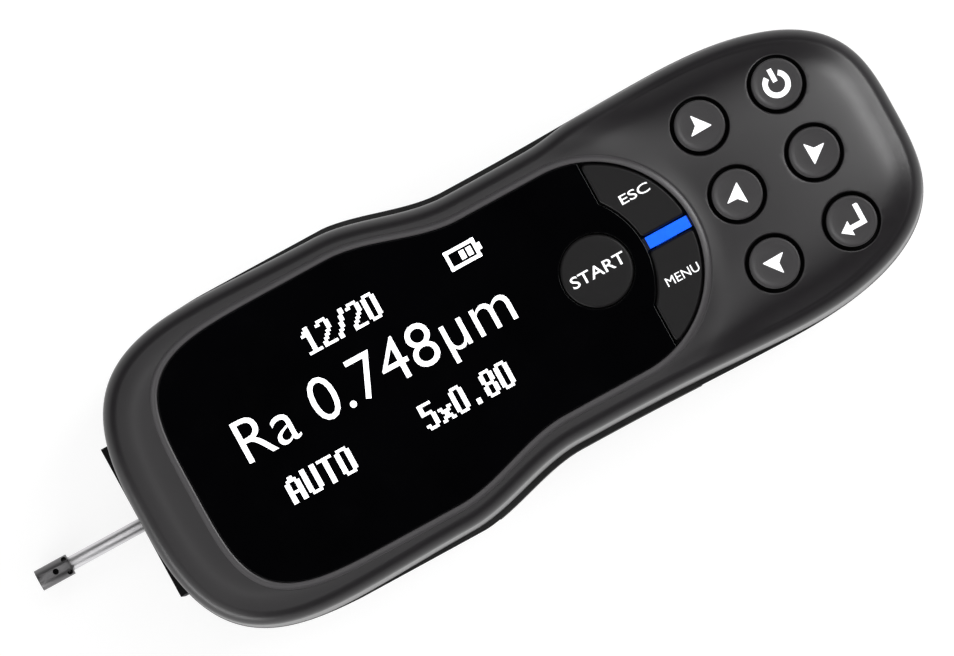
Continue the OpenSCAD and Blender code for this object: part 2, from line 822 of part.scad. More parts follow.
module display_carrier() {
    color(case_black) difference() {
        box([view_x - panel_l / 2, -panel_w / 2, board_top], [view_x + panel_l / 2, panel_w / 2, panel_z]);
        box([view_x - panel_l / 2 + carrier_wall, -panel_w / 2 + carrier_wall, board_top + carrier_wall],
            [view_x + panel_l / 2 - carrier_wall, panel_w / 2 - carrier_wall, panel_z + over]);
    }
}

module display_panel() {
    color(lens_black) box([view_x - panel_l / 2, -panel_w / 2, panel_z],
        [view_x + panel_l / 2, panel_w / 2, panel_z + panel_t]);
}

socket_wall = 0.4;
socket_back = 1;
blade_half = 0.3;

module charge_socket() {
    color(steel) union() {
        difference() {
            box([socket_x0, -socket_w / 2, board_z - socket_h], [socket_x1, socket_w / 2, board_z]);
            box([socket_x0 + socket_back, -socket_w / 2 + socket_wall, board_z - socket_h + socket_wall],
                [socket_x1 + over, socket_w / 2 - socket_wall, board_z - socket_wall]);
        }
        box([socket_x0 + socket_back / 2, -socket_w / 4, board_z - socket_h / 2 - blade_half],
            [socket_x1 - socket_back, socket_w / 4, board_z - socket_h / 2 + blade_half]);
    }
}

battery_round = 2;

module battery_pack() {
    color(battery_blue) translate([battery_x0, -battery_w / 2, floor_z]) linear_extrude(battery_h) {
        translate([battery_round, 0]) square([battery_l - 2 * battery_round, battery_w]);
        translate([0, battery_round]) square([battery_l, battery_w - 2 * battery_round]);
        for (x = [battery_round, battery_l - battery_round], y = [battery_round, battery_w - battery_round])
            translate([x, y]) circle(r = battery_round);
    }
}

// Traverse drive

bush_wall = 1.7;
bush_r = journal_r + bush_wall;
frame_rise = 7;
frame_top_z = drive_z + frame_rise;
frame_top_t = 2;
motor_wall_t = 2;
gear_gap = 0.5;
motor_gap = 1.5;
gear_x0 = frame_x3 + gear_gap;
gear_x1 = gear_x0 + gear_w;
motor_wall_x = gear_x1 + motor_gap;
motor_x = motor_wall_x + motor_wall_t;
gear_apart = gear_m * (gear_teeth + pinion_teeth) / 2;
shaft_r = 1.5;
shaft_hole_r = 2 * shaft_r;
motor_x1 = motor_x + head_l + motor_l;
motor_end = 1.2;

module drive_frame() {
    color(alloy) difference() {
        union() {
            box([frame_x0, -frame_half, ear_z], [frame_x1, frame_half, frame_top_z + frame_top_t]);
            box([frame_x2, -frame_half, ear_z], [frame_x3, frame_half, frame_top_z + frame_top_t]);
            box([frame_x0, -frame_half, frame_top_z], [motor_x, frame_half, frame_top_z + frame_top_t]);
            box([motor_wall_x, -frame_half, ear_z], [motor_x, frame_half, frame_top_z + frame_top_t]);
            for (s = [-1, 1]) mirror([0, s > 0 ? 0 : 1, 0]) {
                box([frame_x1 - over, ear_in, ear_z], [frame_x1 + ear_l, frame_half, ear_z + ear_t]);
                box([frame_x2 - ear_l, ear_in, ear_z], [frame_x2 + over, frame_half, ear_z + ear_t]);
            }
        }
        rod_x(frame_x0 - over, frame_x1 + over, pickup_hole_r, 0, pickup_z);
        box([frame_x0 - over, -pickup_hole_r, 0], [frame_x1 + over, pickup_hole_r, pickup_z]);
        rod_x(frame_x0 - over, frame_x3 + over, bush_r, 0, drive_z);
        for (s = [-1, 1]) rod_x(frame_x0 - over, frame_x3 + over, rod_r, s * rod_y, drive_z);
        rod_x(motor_wall_x - over, motor_x + over, shaft_hole_r, gear_apart, drive_z);
        for (p = frame_bosses) at(p, 0) cylinder(r = small_screw_r + screw_gap, h = ear_z + ear_t + over);
    }
}

module frame_screws() {
    color(steel) for (p = frame_bosses) {
        at(p, ear_z + ear_t) cylinder(r = small_head_r, h = small_head_h);
        at(p, ear_z + ear_t - frame_screw_l + screw_gap)
            cylinder(r = small_screw_r, h = frame_screw_l - screw_gap);
    }
}

module guide_rods() {
    color(steel) for (s = [-1, 1]) rod_x(frame_x0, frame_x3, rod_r, s * rod_y, drive_z);
}

module screw_bushes() {
    color(brass) for (x = [frame_x0, frame_x2]) difference() {
        rod_x(x, x + frame_t, bush_r, 0, drive_z);
        rod_x(x - over, x + frame_t + over, journal_r + run_gap, 0, drive_z);
    }
}

module gear_head() {
    color(brass) box([motor_x, gear_apart - motor_r, drive_z - motor_flat / 2],
        [motor_x + head_l, gear_apart + motor_r, drive_z + motor_flat / 2]);
}

module drive_motor() {
    color(steel) {
        intersection() {
            rod_x(motor_x + head_l, motor_x1, motor_r, gear_apart, drive_z);
            box([-far, -far, drive_z - motor_flat / 2], [far, far, drive_z + motor_flat / 2]);
        }
        rod_x(motor_x1 - over, motor_x1 + motor_end, motor_r / 2, gear_apart, drive_z);
    }
}

// Involute gear outline with a little backlash, a tooth at angle 0
pressure = 25;
backlash = 0.06;
addendum = 0.85;
dedendum = 1.15;
flank_steps = 4;
function involute(a) = tan(a) * 180 / PI - a;
function tooth_half(r, teeth) = let (rb = gear_m * teeth / 2 * cos(pressure))
    90 / teeth - backlash / (gear_m * teeth) * 180 / PI
    + involute(pressure) - involute(acos(min(1, rb / r)));
function polar(r, a) = r * [cos(a), sin(a)];

module gear_outline(teeth) {
    pitch_r = gear_m * teeth / 2;
    root_r = pitch_r - dedendum * gear_m;
    foot_rad = max(root_r, pitch_r * cos(pressure));
    tip_rad = pitch_r + addendum * gear_m;
    radii = [for (i = [0:flank_steps]) foot_rad + (tip_rad - foot_rad) * i / flank_steps];
    polygon([for (t = [0:teeth - 1]) let (a = 360 * t / teeth)
        each concat(
            [polar(root_r, a - tooth_half(foot_rad, teeth))],
            [for (r = radii) polar(r, a - tooth_half(r, teeth))],
            [for (r = reversed(radii)) polar(r, a + tooth_half(r, teeth))],
            [polar(root_r, a + tooth_half(foot_rad, teeth))]
        )]);
}

module gear_x(x0, x1, teeth, bore, phase) {
    translate([x0, 0, 0]) rotate([90, 0, 90]) difference() {
        rotate(phase) linear_extrude(x1 - x0) gear_outline(teeth);
        translate([0, 0, -over]) cylinder(r = bore, h = x1 - x0 + 2 * over);
    }
}

module drive_screw() {
    color(steel) union() {
        rod_x(frame_x0, gear_x1, journal_r, 0, drive_z);
        rod_x(frame_x1 + set_gap, frame_x2 - set_gap, screw_r, 0, drive_z);
    }
}

module screw_gear() {
    color(nylon_white) translate([0, 0, drive_z]) gear_x(gear_x0, gear_x1, gear_teeth, journal_r, 0);
}

module motor_shaft() {
    color(steel) rod_x(gear_x0, motor_x, shaft_r, gear_apart, drive_z);
}

module motor_pinion() {
    color(brass) translate([0, gear_apart, drive_z])
        gear_x(gear_x0, gear_x1, pinion_teeth, shaft_r, 180 + 180 / pinion_teeth);
}

carriage_x0 = frame_x1 + carriage_front;
carriage_x1 = carriage_x0 + carriage_l;
carriage_rim = 3;
carriage_rise = 4.6;
carriage_half = rod_y + carriage_rim;
carriage_z0 = drive_z - carriage_rim;
carriage_z1 = drive_z + carriage_rise;
clamp_wall = 2.3;
clamp_floor = 1.3;
clamp_half = barrel_r + clamp_wall;
clamp_z0 = pickup_z - barrel_r - clamp_floor;
carriage_bush_wall = 0.9;
carriage_bush_r = rod_r + carriage_bush_wall;
nut_wall = 1.4;
nut_r = screw_r + nut_wall;
nut_l = 9;

module carriage() {
    color(alloy) difference() {
        union() {
            box([carriage_x0, -carriage_half, carriage_z0], [carriage_x1, carriage_half, carriage_z1]);
            box([carriage_x0, -clamp_half, clamp_z0], [carriage_x1, clamp_half, carriage_z0 + over]);
        }
        rod_x(carriage_x0 - over, carriage_x1 + over, barrel_r, 0, pickup_z);
        rod_x(carriage_x0 - over, carriage_x1 + over, screw_r + screw_gap, 0, drive_z);
        rod_x(carriage_x1 - nut_l, carriage_x1 + over, nut_r, 0, drive_z);
        for (s = [-1, 1])
            rod_x(carriage_x0 - over, carriage_x1 + over, carriage_bush_r, s * rod_y, drive_z);
    }
}

module carriage_bushes() {
    color(brass) for (s = [-1, 1]) difference() {
        rod_x(carriage_x0, carriage_x1, carriage_bush_r, s * rod_y, drive_z);
        rod_x(carriage_x0 - over, carriage_x1 + over, rod_r + run_gap, s * rod_y, drive_z);
    }
}

module drive_nut() {
    color(brass) difference() {
        rod_x(carriage_x1 - nut_l, carriage_x1, nut_r, 0, drive_z);
        rod_x(carriage_x1 - nut_l - over, carriage_x1 + over, screw_r + run_gap, 0, drive_z);
    }
}

// Pickup

barrel_setback = 3.5;
barrel_x0 = nose_x + barrel_setback;
barrel_x1 = carriage_x1 - barrel_in;
tip_x0 = nose_x - pickup_reach;
tip_x1 = tip_x0 + tip_l;
tip_wall = 1.4;
tube_in = 7.5;
pivot_back = 3;
barrel_wall = 1.1;
tube_x0 = tip_x0 + tip_wall;
tube_x1 = barrel_x0 + tube_in;
pivot_x = tube_x1 + pivot_back;
cavity_r = barrel_r - barrel_wall;
pin_r = 0.3;
plug_in = 2;
stylus_setback = 2.6;
stylus_x = tip_x0 + stylus_setback;
leg_r = 0.3;
leg_gap = 0.4;
cone_h = 0.7;
stylus_out = 0.1;
cone_z = skid_z - stylus_out;
hub_r = 1;
skid_half = 0.7 * tip_r;
skid_l = 0.85 * tip_l;
set_hole_r = 0.5;
coil_l = 5.5;
coil_t = 0.9;
pin_in = 0.3;
point_r = 0.03;
armature_gap = 1.5;
armature_x1 = barrel_x1 - plug_in - armature_gap;

module pickup_barrel() {
    color(alloy) difference() {
        rod_x(barrel_x0, barrel_x1, barrel_r, 0, pickup_z);
        rod_x(barrel_x0 - over, tube_x1 + over, tube_r, 0, pickup_z);
        rod_x(tube_x1, barrel_x1 + over, cavity_r, 0, pickup_z);
        translate([pivot_x, -far, pickup_z]) rotate([-90, 0, 0]) cylinder(r = pin_r, h = 2 * far);
    }
}

module contact_plug() {
    color(case_black) union() {
        rod_x(barrel_x1, barrel_x1 + plug_l, barrel_r, 0, pickup_z);
        rod_x(barrel_x1 - plug_in, barrel_x1 + over, cavity_r, 0, pickup_z);
    }
}

module pickup_tube() {
    color(steel) difference() {
        rod_x(tube_x0, tube_x1, tube_r, 0, pickup_z);
        rod_x(tube_x0 - over, tube_x1 + over, tube_r - tube_wall, 0, pickup_z);
        translate([stylus_x, 0, 0]) cylinder(r = leg_r + leg_gap, h = pickup_z);
    }
}

module nosepiece() {
    color(steel) difference() {
        union() {
            rod_x(tip_x0, tip_x1, tip_r, 0, pickup_z);
            intersection() {
                box([tip_x0, -skid_half, skid_z], [tip_x0 + skid_l, skid_half, pickup_z]);
                translate([stylus_x, -far, skid_z + skid_r]) rotate([-90, 0, 0])
                    cylinder(r = skid_r, h = 2 * far, $fn = 96);
            }
        }
        rod_x(tube_x0, tip_x1 + over, tube_r, 0, pickup_z);
        translate([stylus_x, 0, 0]) cylinder(r = leg_r + leg_gap, h = pickup_z);
        translate([tip_x0 + tip_l * 0.55, 0, pickup_z]) cylinder(r = set_hole_r, h = far);
    }
}

module sensing_coil() {
    color(copper) difference() {
        rod_x(armature_x1 - coil_l, armature_x1, cavity_r, 0, pickup_z);
        rod_x(armature_x1 - coil_l - over, armature_x1 + over, cavity_r - coil_t, 0, pickup_z);
    }
}

module pivot_pin() {
    color(steel) translate([pivot_x, -barrel_r + pin_in, pickup_z]) rotate([-90, 0, 0])
        cylinder(r = pin_r, h = 2 * (barrel_r - pin_in));
}

module stylus_lever() {
    color(steel) difference() {
        union() {
            rod_x(stylus_x, armature_x1, lever_r, 0, pickup_z);
            rod_x(pivot_x + 2 * hub_r, armature_x1, lever_r * 2, 0, pickup_z);
            translate([stylus_x, 0, cone_z + cone_h]) cylinder(r = leg_r, h = pickup_z - cone_z - cone_h);
            translate([pivot_x, -hub_r, pickup_z]) rotate([-90, 0, 0]) cylinder(r = hub_r, h = 2 * hub_r);
        }
        translate([pivot_x, -far, pickup_z]) rotate([-90, 0, 0]) cylinder(r = pin_r + run_gap, h = 2 * far);
    }
}

module stylus_tip() {
    color(case_black) translate([stylus_x, 0, cone_z]) cylinder(r1 = point_r, r2 = leg_r, h = cone_h);
}

top_shell();
bottom_shell();
front_plate();
plate_screws();
display_lens();
light_guide();
left_grip();
right_grip();
rubber_feet();
case_screws();
screw_inserts();
up_key();
down_key();
left_key();
right_key();
power_key();
enter_key();
start_key();
escape_key();
menu_key();
main_board();
board_screws();
key_switches();
board_chips();
status_led();
display_carrier();
display_panel();
charge_socket();
battery_pack();
drive_frame();
frame_screws();
guide_rods();
screw_bushes();
drive_motor();
gear_head();
drive_screw();
screw_gear();
motor_shaft();
motor_pinion();
carriage();
carriage_bushes();
drive_nut();
pickup_barrel();
contact_plug();
pickup_tube();
nosepiece();
sensing_coil();
pivot_pin();
stylus_lever();
stylus_tip();
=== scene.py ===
import math

import bmesh
import bpy
import numpy as np
from mathutils import Matrix, Vector


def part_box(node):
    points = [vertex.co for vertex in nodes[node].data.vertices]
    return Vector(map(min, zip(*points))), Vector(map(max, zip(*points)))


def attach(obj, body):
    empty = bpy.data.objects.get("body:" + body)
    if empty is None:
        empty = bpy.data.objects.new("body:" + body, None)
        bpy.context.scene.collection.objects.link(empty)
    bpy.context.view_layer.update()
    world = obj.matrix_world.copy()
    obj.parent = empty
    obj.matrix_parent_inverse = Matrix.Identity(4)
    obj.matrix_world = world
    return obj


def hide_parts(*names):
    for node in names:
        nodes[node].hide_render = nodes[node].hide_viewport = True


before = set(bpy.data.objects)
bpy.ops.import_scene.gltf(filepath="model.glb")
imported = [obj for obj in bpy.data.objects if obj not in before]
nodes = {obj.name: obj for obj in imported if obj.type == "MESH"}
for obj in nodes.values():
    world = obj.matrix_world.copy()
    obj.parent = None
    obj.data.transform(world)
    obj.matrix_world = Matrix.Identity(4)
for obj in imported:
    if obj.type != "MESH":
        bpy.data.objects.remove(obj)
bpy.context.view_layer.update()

MM = 0.001

# Sizes in millimetres, read from the frame where a node carries them


def mm_box(node):
    low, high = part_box(node)
    return np.array(low) / MM, np.array(high) / MM


def middle(node):
    low, high = mm_box(node)
    return (low + high) / 2


shell_low, shell_high = mm_box("top_shell")
lens_low, lens_high = mm_box("display_lens")
plate_low, plate_high = mm_box("front_plate")
tip_low, tip_high = mm_box("nosepiece")
nose_x, tail_x = shell_low[0], shell_high[0]
seam_z, top_z = shell_low[2], shell_high[2]
base_z = mm_box("bottom_shell")[0][2]
lens_z, lens_top = lens_low[2], lens_high[2]
guide_front = mm_box("light_guide")[0][0]
tube_z, tube_r = middle("pickup_tube")[2], mm_box("pickup_tube")[1][1]
start_at = middle("start_key")
round_keys = ("up_key", "left_key", "down_key", "power_key", "right_key", "enter_key")

# Outline of the case: half widths, lengths, and the powers that shape its ends
head_half = shell_high[1]
nose_l, nose_p, nose_q = 41, 4.6, 2.8
tail_l, tail_p, tail_q = 33, 2.4, 3.2
shoulder_x, shoulder_l = nose_x + 47, 22
neck_half, neck_x = 23.75, nose_x + 75
handle_half, handle_l = 24.3, 34
section_steps, side_samples = (70, 56, 96), 3000

# Shells: walls, edges, and the lip between them
wall, top_t, floor_t = 2.2, 3.5, 2.2
edge_r, base_r, draft = 3, 4, 0.5
lip_h, seam_gap, fit_gap = 2, 0.5, 0.1
top_seam_edge, base_seam_edge = 0.15, 0.2
inner_edge_drop = 1.2
ledge_z = top_z - top_t
top_steps, top_ease, edge_steps, wall_steps = 44, 1.4, 12, 8
ceiling_steps, base_steps, floor_steps = 5, 10, 6

# Top surface: a sloping rim, a crowned handle and a tail that falls away
rim_w, rim_slope, rim_soft = 5.5, math.radians(14), 1.2
crown_l, crown_h, crown_power, crown_lead = 18, 5, 3, 12
tail_drop, drop_blend = 3.6, 12
swell_h, swell_w, swell_l = 0.6, 4.2, 10

# Step along the waist, where the top shell draws in above the grips
step_w, step_from, step_rise = 0.8, -44, 34
left_step_to, left_step_fall = 24, 9
right_step_to, right_step_fall = 26, 34

# Window: its bevel as (distance out, depth), its frame and the hole's flare as (distance out, height)
lens_front, lens_nose_l = lens_low[0], 30
lens_nose_p, lens_nose_q = 4.8, 3.9
lens_head_half, lens_end_r = lens_high[1], 17.8
lens_end_x = nose_x + 84
crown_x = lens_end_x + lens_end_r - crown_lead
lens_gap, lens_edge, lens_corner_r, lens_corner_room = 0.1, 0.08, 0.3, 0.5
bezel = ((0, 0.55), (0.05, 0.42), (0.16, 0.34), (0.4, 0.2), (0.7, 0.1), (1.0, 0.035), (1.3, 0))
frame_outer = ((0.6, 0.08), (0.9, 0.05), (1.1, -0.02), (1.2, -0.5))
frame_section = ((0.02, -0.5), (0.02, -0.06), (0.1, 0.02), (0.3, 0.07)) + frame_outer
flare = ((0, -0.06), (0.02, -0.02), (0.07, 0.01))
view_frame = 1.2

# Keys: cap, hole, flange and stem, and the dish in a cap as (radius, depth)
key_r, key_gap, key_proud, key_web = 4.15, 0.6, 0.9, 2.4
key_flange, flange_gap, stem_r = 1.2, 0.05, 1.25
key_edge_in, key_edge_down = 0.2, 0.25
key_dish = ((3.7, 0), (3.5, 0.03), (3.3, 0.08), (3, 0.12), (2, 0.14), (0.8, 0.15))
hole_lip, lip_angles = 0.25, np.radians((0, 20, 40, 58, 72))
# Depth below a cap's top where its sides turn black, painted shade for the gap round the key
gap_shade_drop = 0.5
start_r, start_flat_r = 5.9, 4.5
start_edge_in, start_edge_down = 0.45, 0.3
corner_gap, corner_in_r, corner_in_back, corner_start = 0.3, 15.15, 5.55, 6.3
corner_round, corner_edge, corner_foot = 0.8, 0.45, 1
corner_stem_x, corner_stem_y = lens_end_x + 10.2, 9.4
strip_half = 1.3
guide_neck, guide_neck_from, guide_neck_to = 0.8, lens_end_x + 10.9, lens_end_x + 15.1
arc_steps, inner_arc_steps, corner_edge_steps = 40, 30, 7
key_facets, start_facets, screw_facets, stem_facets = 96, 128, 40, 32

# Trim: seam bead, grips, screws and openings
bead_in, bead_proud, bead_gap, bead_steps = 1.0, 0.1, 0.03, 7
pad_in, pad_h, pad_edge, pad_end = 0.8, 0.12, 0.3, 0.05
pad_columns, pad_rows = 161, 97
rib_pitch, rib_h, rib_margin, rib_fade, rib_land = 1.7, 0.5, 1.3, 0.4, 0.9
plate_head_h, case_head_h = 1.0, 2.4
well_gap, well_edge = 0.2, 0.5
pickup_hole_r, pickup_hole_l = 4.6, 6
socket_gap = 0.4
foot_edge_in, foot_edge_down, foot_centre_r = 0.3, 0.2, 0.5
foot_section = ((0, 0.4), (0.08, 0.18), (0.35, 0), (1.5, 0), (1.7, 0.2), (2.3, 0.2), (2.5, 0))
shank_share, shoulder_share, crest_share, crest_step = 0.55, 0.45, 0.8, 0.1
recess_arm, recess_slot, recess_deep = 0.62, 0.15, 0.55

# How far cutters reach past what they cut
past, ledge_past, flange_room = 1, 2, 4
guide_past, view_past, socket_past = 3, 3, 2
hole_deep, hole_past, hole_mouth = 14, 3, 0.3

# Smooth steps and the outline's half width


def smooth(t):
    c = np.clip(t, 0, 1)
    return c * c * (3 - 2 * c)


def end_curve(d, length, p, q):
    u = np.clip((length - d) / length, 0, 1)
    return (1 - u**p) ** (1 / q)


def waist(x, wide, narrow):
    return wide - (wide - narrow) * smooth((x - shoulder_x) / shoulder_l)


def body_half(x):
    swell = (handle_half - neck_half) * smooth((x - neck_x) / handle_l)
    nose = end_curve(x - nose_x, nose_l, nose_p, nose_q)
    tail = end_curve(tail_x - x, tail_l, tail_p, tail_q)
    return (waist(x, head_half, neck_half) + swell) * nose * tail


def lens_half(x):
    nose = end_curve(x - lens_front, lens_nose_l, lens_nose_p, lens_nose_q)
    return waist(x, lens_head_half, lens_end_r) * nose


# Loops of points in plan


def arc(centre, r, a0, a1, n):
    a = np.linspace(a0, a1, n)
    return np.array(centre) + r * np.stack([np.cos(a), np.sin(a)], 1)


def eased(start, end, n):
    """n places from start to end, packed close at both ends."""
    return start + (end - start) * (1 - np.cos(np.linspace(0, math.pi, n))) / 2


def resample(points, n):
    """n + 1 points at even steps along a polyline."""
    run = np.concatenate([[0], np.cumsum(np.linalg.norm(np.diff(points, axis=0), axis=1))])
    even = np.linspace(0, run[-1], n + 1)
    return np.stack([np.interp(even, run, points[:, k]) for k in range(points.shape[1])], 1)


def side(half, x0, x1, n):
    """Points of one side, on -Y, from x0 to x1."""
    xs = eased(x0, x1, side_samples)
    return resample(np.stack([xs, -half(xs)], 1), n)


def mirrored(one):
    """The closed loop of a side and its mirror image across the long axis."""
    return np.concatenate([one, one[-2:0:-1] * [1, -1]])


def whole(sections):
    """The closed loop, counter-clockwise from the nose, whose -Y side is given in sections."""
    return mirrored(np.concatenate([s[:-1] for s in sections[:-1]] + [sections[-1]]))


nose_end = nose_x + nose_l
lens_nose_end = lens_front + lens_nose_l
outline = whole([
    side(body_half, nose_x, nose_end, section_steps[0]),
    side(body_half, nose_end, lens_end_x, section_steps[1]),
    side(body_half, lens_end_x, tail_x, section_steps[2]),
])
lens_loop = whole([
    side(lens_half, lens_front, lens_nose_end, section_steps[0]),
    side(lens_half, lens_nose_end, lens_end_x, section_steps[1]),
    arc((lens_end_x, 0), lens_end_r, -math.pi / 2, 0, section_steps[2] + 1),
])


def outward(loop):
    along = np.roll(loop, -1, 0) - np.roll(loop, 1, 0)
    along /= np.linalg.norm(along, axis=1)[:, None]
    return np.stack([along[:, 1], -along[:, 0]], 1)


def grown(loop, by):
    return loop + by * outward(loop)


def stepped(loop):
    """The outline drawn in a little along the waist, where the grips sit."""
    x, y = loop[:, 0], loop[:, 1]
    left_end = 1 - smooth((x - left_step_to) / left_step_fall)
    right_end = 1 - smooth((x - right_step_to) / right_step_fall)
    share = smooth((x - step_from) / step_rise) * np.where(y > 0, left_end, right_end)
    return loop - step_w * share[:, None] * outward(loop)


def rounded(corners, radius, steps=6, blunt=math.radians(155), clear=0.02):
    """A polygon with its corners rounded, points close to a corner giving way to the curve."""
    loop = np.array(corners, float)
    ends = np.roll(loop, -1, 0)
    lengths = np.linalg.norm(ends - loop, axis=1)
    run = np.concatenate([[0], np.cumsum(lengths)])
    ring = np.concatenate([loop, loop[:1]])

    def along(s):
        return np.array([np.interp(s % run[-1], run, ring[:, k]) for k in (0, 1)])

    def apart(s, t):
        return abs((s - t + run[-1] / 2) % run[-1] - run[-1] / 2)

    before = (np.roll(loop, 1, 0) - loop) / np.roll(lengths, 1)[:, None]
    after = (ends - loop) / lengths[:, None]
    opening = np.arccos(np.clip((before * after).sum(1), -1, 1))
    reach = {i: radius / math.tan(a / 2) for i, a in enumerate(opening) if a < blunt}
    out = []
    for i, point in enumerate(loop):
        if i in reach:
            p, q = along(run[i] - reach[i]), along(run[i] + reach[i])
            for t in np.linspace(0, 1, steps):
                out.append((1 - t) ** 2 * p + 2 * t * (1 - t) * point + t * t * q)
        elif min((apart(run[i], run[k]) - r for k, r in reach.items()), default=1) > clear:
            out.append(point)
    return np.array(out)


def corner_loop(out_gap, in_gap, side_gap, sign):
    """Outline of a corner key, on +Y for sign 1 and on -Y for sign -1."""
    outer, inner = lens_end_r + out_gap, corner_in_r - in_gap
    in_x = lens_end_x - corner_in_back
    x0, y0 = lens_end_x + corner_start - side_gap, strip_half - side_gap
    a0, a1 = math.asin(y0 / outer), math.acos((x0 - lens_end_x) / outer)
    b0, b1 = math.asin(y0 / inner), math.acos((x0 - in_x) / inner)
    arcs = [arc((lens_end_x, 0), outer, a0, a1, arc_steps), arc((in_x, 0), inner, b1, b0, inner_arc_steps)]
    loop = np.concatenate(arcs) * [1, sign]
    return loop if sign > 0 else loop[::-1]


# Heights of the top surface


def distance(points, loop):
    """Distance of each point from a closed loop."""
    a, b = loop, np.roll(loop, -1, 0)
    ab = b - a
    length2 = (ab**2).sum(1)
    best, chunk = np.empty(len(points)), 2000
    for part in np.array_split(np.arange(len(points)), max(1, len(points) // chunk)):
        ap = points[part][:, None] - a[None]
        t = np.clip((ap * ab).sum(2) / length2, 0, 1)
        best[part] = np.linalg.norm(ap - t[..., None] * ab, axis=2).min(1)
    return best


def drop(x, y):
    crown = crown_h * smooth((x - crown_x) / crown_l) * (np.abs(y) / handle_half) ** crown_power
    fall = np.clip((x - (tail_x - tail_l)) / tail_l, 0, None)
    return crown + tail_drop * fall**2


def rim_fall(inset):
    """How far the rim lies below the window's level, this far inside the outline."""
    t = rim_w - inset
    return math.tan(rim_slope) * (t + np.sqrt(t * t + rim_soft**2)) / 2


def top_height(points):
    """Height of the top surface over points inside the outline."""
    x, y = points[:, 0], points[:, 1]
    near = np.clip(1 - distance(points, lens_loop) / swell_w, 0, 1)
    swell = swell_h * smooth((x - lens_end_x) / swell_l) * near**2
    return top_z - rim_fall(distance(points, outline)) - drop(x, y) + swell


# Rings and closed forms: a form is a pair of vertices in millimetres and faces
mirror_shift, folded_shift = 0, 1


def ring_at(loop, z):
    """A ring over a loop, at one height or at a height for each point."""
    return np.column_stack([loop, np.broadcast_to(z, len(loop))])


def lowered(loop, z):
    """A ring of the side wall, lowered where the top falls away."""
    share = min(1, max(0, (z - seam_z) / drop_blend))
    return ring_at(loop, z - drop(loop[:, 0], loop[:, 1]) * share)


def volume(verts, faces):
    """Signed volume inside closed faces, positive where they face outward."""
    total = 0.0
    for face in faces:
        a = verts[face[0]]
        for i, j in zip(face[1:-1], face[2:]):
            total += a @ np.cross(verts[i], verts[j])
    return total / 6


def facing_out(verts, faces):
    if volume(verts, faces) < 0:
        faces = [face[::-1] for face in faces]
    return verts, faces


def ring_faces(a, b, n):
    """Faces between two rings of n vertices that start at a and at b."""
    return [(a + i, a + (i + 1) % n, b + (i + 1) % n, b + i) for i in range(n)]


def strips(n, shift):
    """Faces across a ring of n vertices, where vertex i lies opposite vertex n - i - shift."""
    faces = []
    for i in range(n // 2 - shift):
        corners = [i, i + 1, (n - i - 1 - shift) % n, (n - i - shift) % n]
        faces.append(tuple(dict.fromkeys(corners)))
    return faces


def stack(rings, shift=None):
    """A closed form lofted over rings, its ends single faces or strips across."""
    n, last = len(rings[0]), (len(rings) - 1) * len(rings[0])
    faces = []
    for start in range(0, last, n):
        faces += ring_faces(start, start + n, n)
    cap = [tuple(range(n))] if shift is None else strips(n, shift)
    faces += [face[::-1] for face in cap]
    faces += [tuple(last + i for i in face) for face in cap]
    return facing_out(np.concatenate(rings), faces)


def hoop(rings):
    """A closed hoop, its section given as rings."""
    n, m = len(rings[0]), len(rings)
    faces = []
    for r in range(m):
        faces += ring_faces(r * n, (r + 1) % m * n, n)
    return facing_out(np.concatenate(rings), faces)


def lathe(profile, centre, steps=64):
    """Rings of a turned form about a vertical axis, from (radius, height) pairs."""
    a = np.linspace(0, 2 * math.pi, steps, endpoint=False)
    ring = np.stack([np.cos(a), np.sin(a)], 1)
    return [ring_at(centre[:2] + r * ring, z) for r, z in profile]


def quarter(r0, z0, dr, dz, steps=6):
    """A rounded corner from (r0, z0 - dz) up and in to (r0 - dr, z0)."""
    angles = np.linspace(0, math.pi / 2, steps)
    return [(r0 - dr * (1 - math.cos(a)), z0 - dz * (1 - math.sin(a))) for a in angles]


def slab(loop, z0, z1, edge, steps=5):
    """Rings of a flat plate with a rounded upper edge and a small lower one."""
    rings = [ring_at(grown(loop, -edge / 3), z0), ring_at(loop, z0 + edge / 3)]
    for inset, z in quarter(0, z1, edge, edge, steps):
        rings.append(ring_at(grown(loop, inset), z))
    return rings


def upright(loop, z0, z1):
    loop = np.array(loop)
    return stack([ring_at(loop, z0), ring_at(loop, z1)])


def rectangle(x0, y0, x1, y1):
    return np.array([[x0, y0], [x1, y0], [x1, y1], [x0, y1]])


def box_form(low, high):
    return upright(rectangle(*low[:2], *high[:2]), low[2], high[2])


def rod_form(x0, x1, r, z, steps=48):
    """A round rod along X, over the long axis."""
    a = np.linspace(0, 2 * math.pi, steps, endpoint=False)
    ring = np.stack([r * np.cos(a), z + r * np.sin(a)], 1)
    return stack([np.column_stack([np.full(steps, x), ring]) for x in (x0, x1)])


def laid(form, axis, foot):
    """A form that stands on the Z axis, laid along another with its foot at a place."""
    verts, faces = form
    across = [k for k in range(3) if k != axis]
    out = np.empty_like(verts, float)
    out[:, axis], out[:, across[0]], out[:, across[1]] = verts[:, 2], verts[:, 0], verts[:, 1]
    return facing_out(out + foot, faces)


def joined(forms):
    verts, faces, base = [], [], 0
    for v, f in forms:
        verts += list(v)
        faces += [tuple(base + i for i in face) for face in f]
        base += len(v)
    return np.array(verts), faces


# Objects


def add_object(name, data):
    made = bpy.data.objects.new(name, data)
    bpy.context.scene.collection.objects.link(made)
    return made


def form_mesh(name, form):
    verts, faces = form
    mesh = bpy.data.meshes.new(name)
    mesh.from_pydata([tuple(float(c) * MM for c in v) for v in verts], [], faces)
    return mesh


def new_piece(name, form, body=None, material=None, angle=35):
    piece = add_object(name, form_mesh(name, form))
    finish_piece(piece, body, material, angle)
    return piece


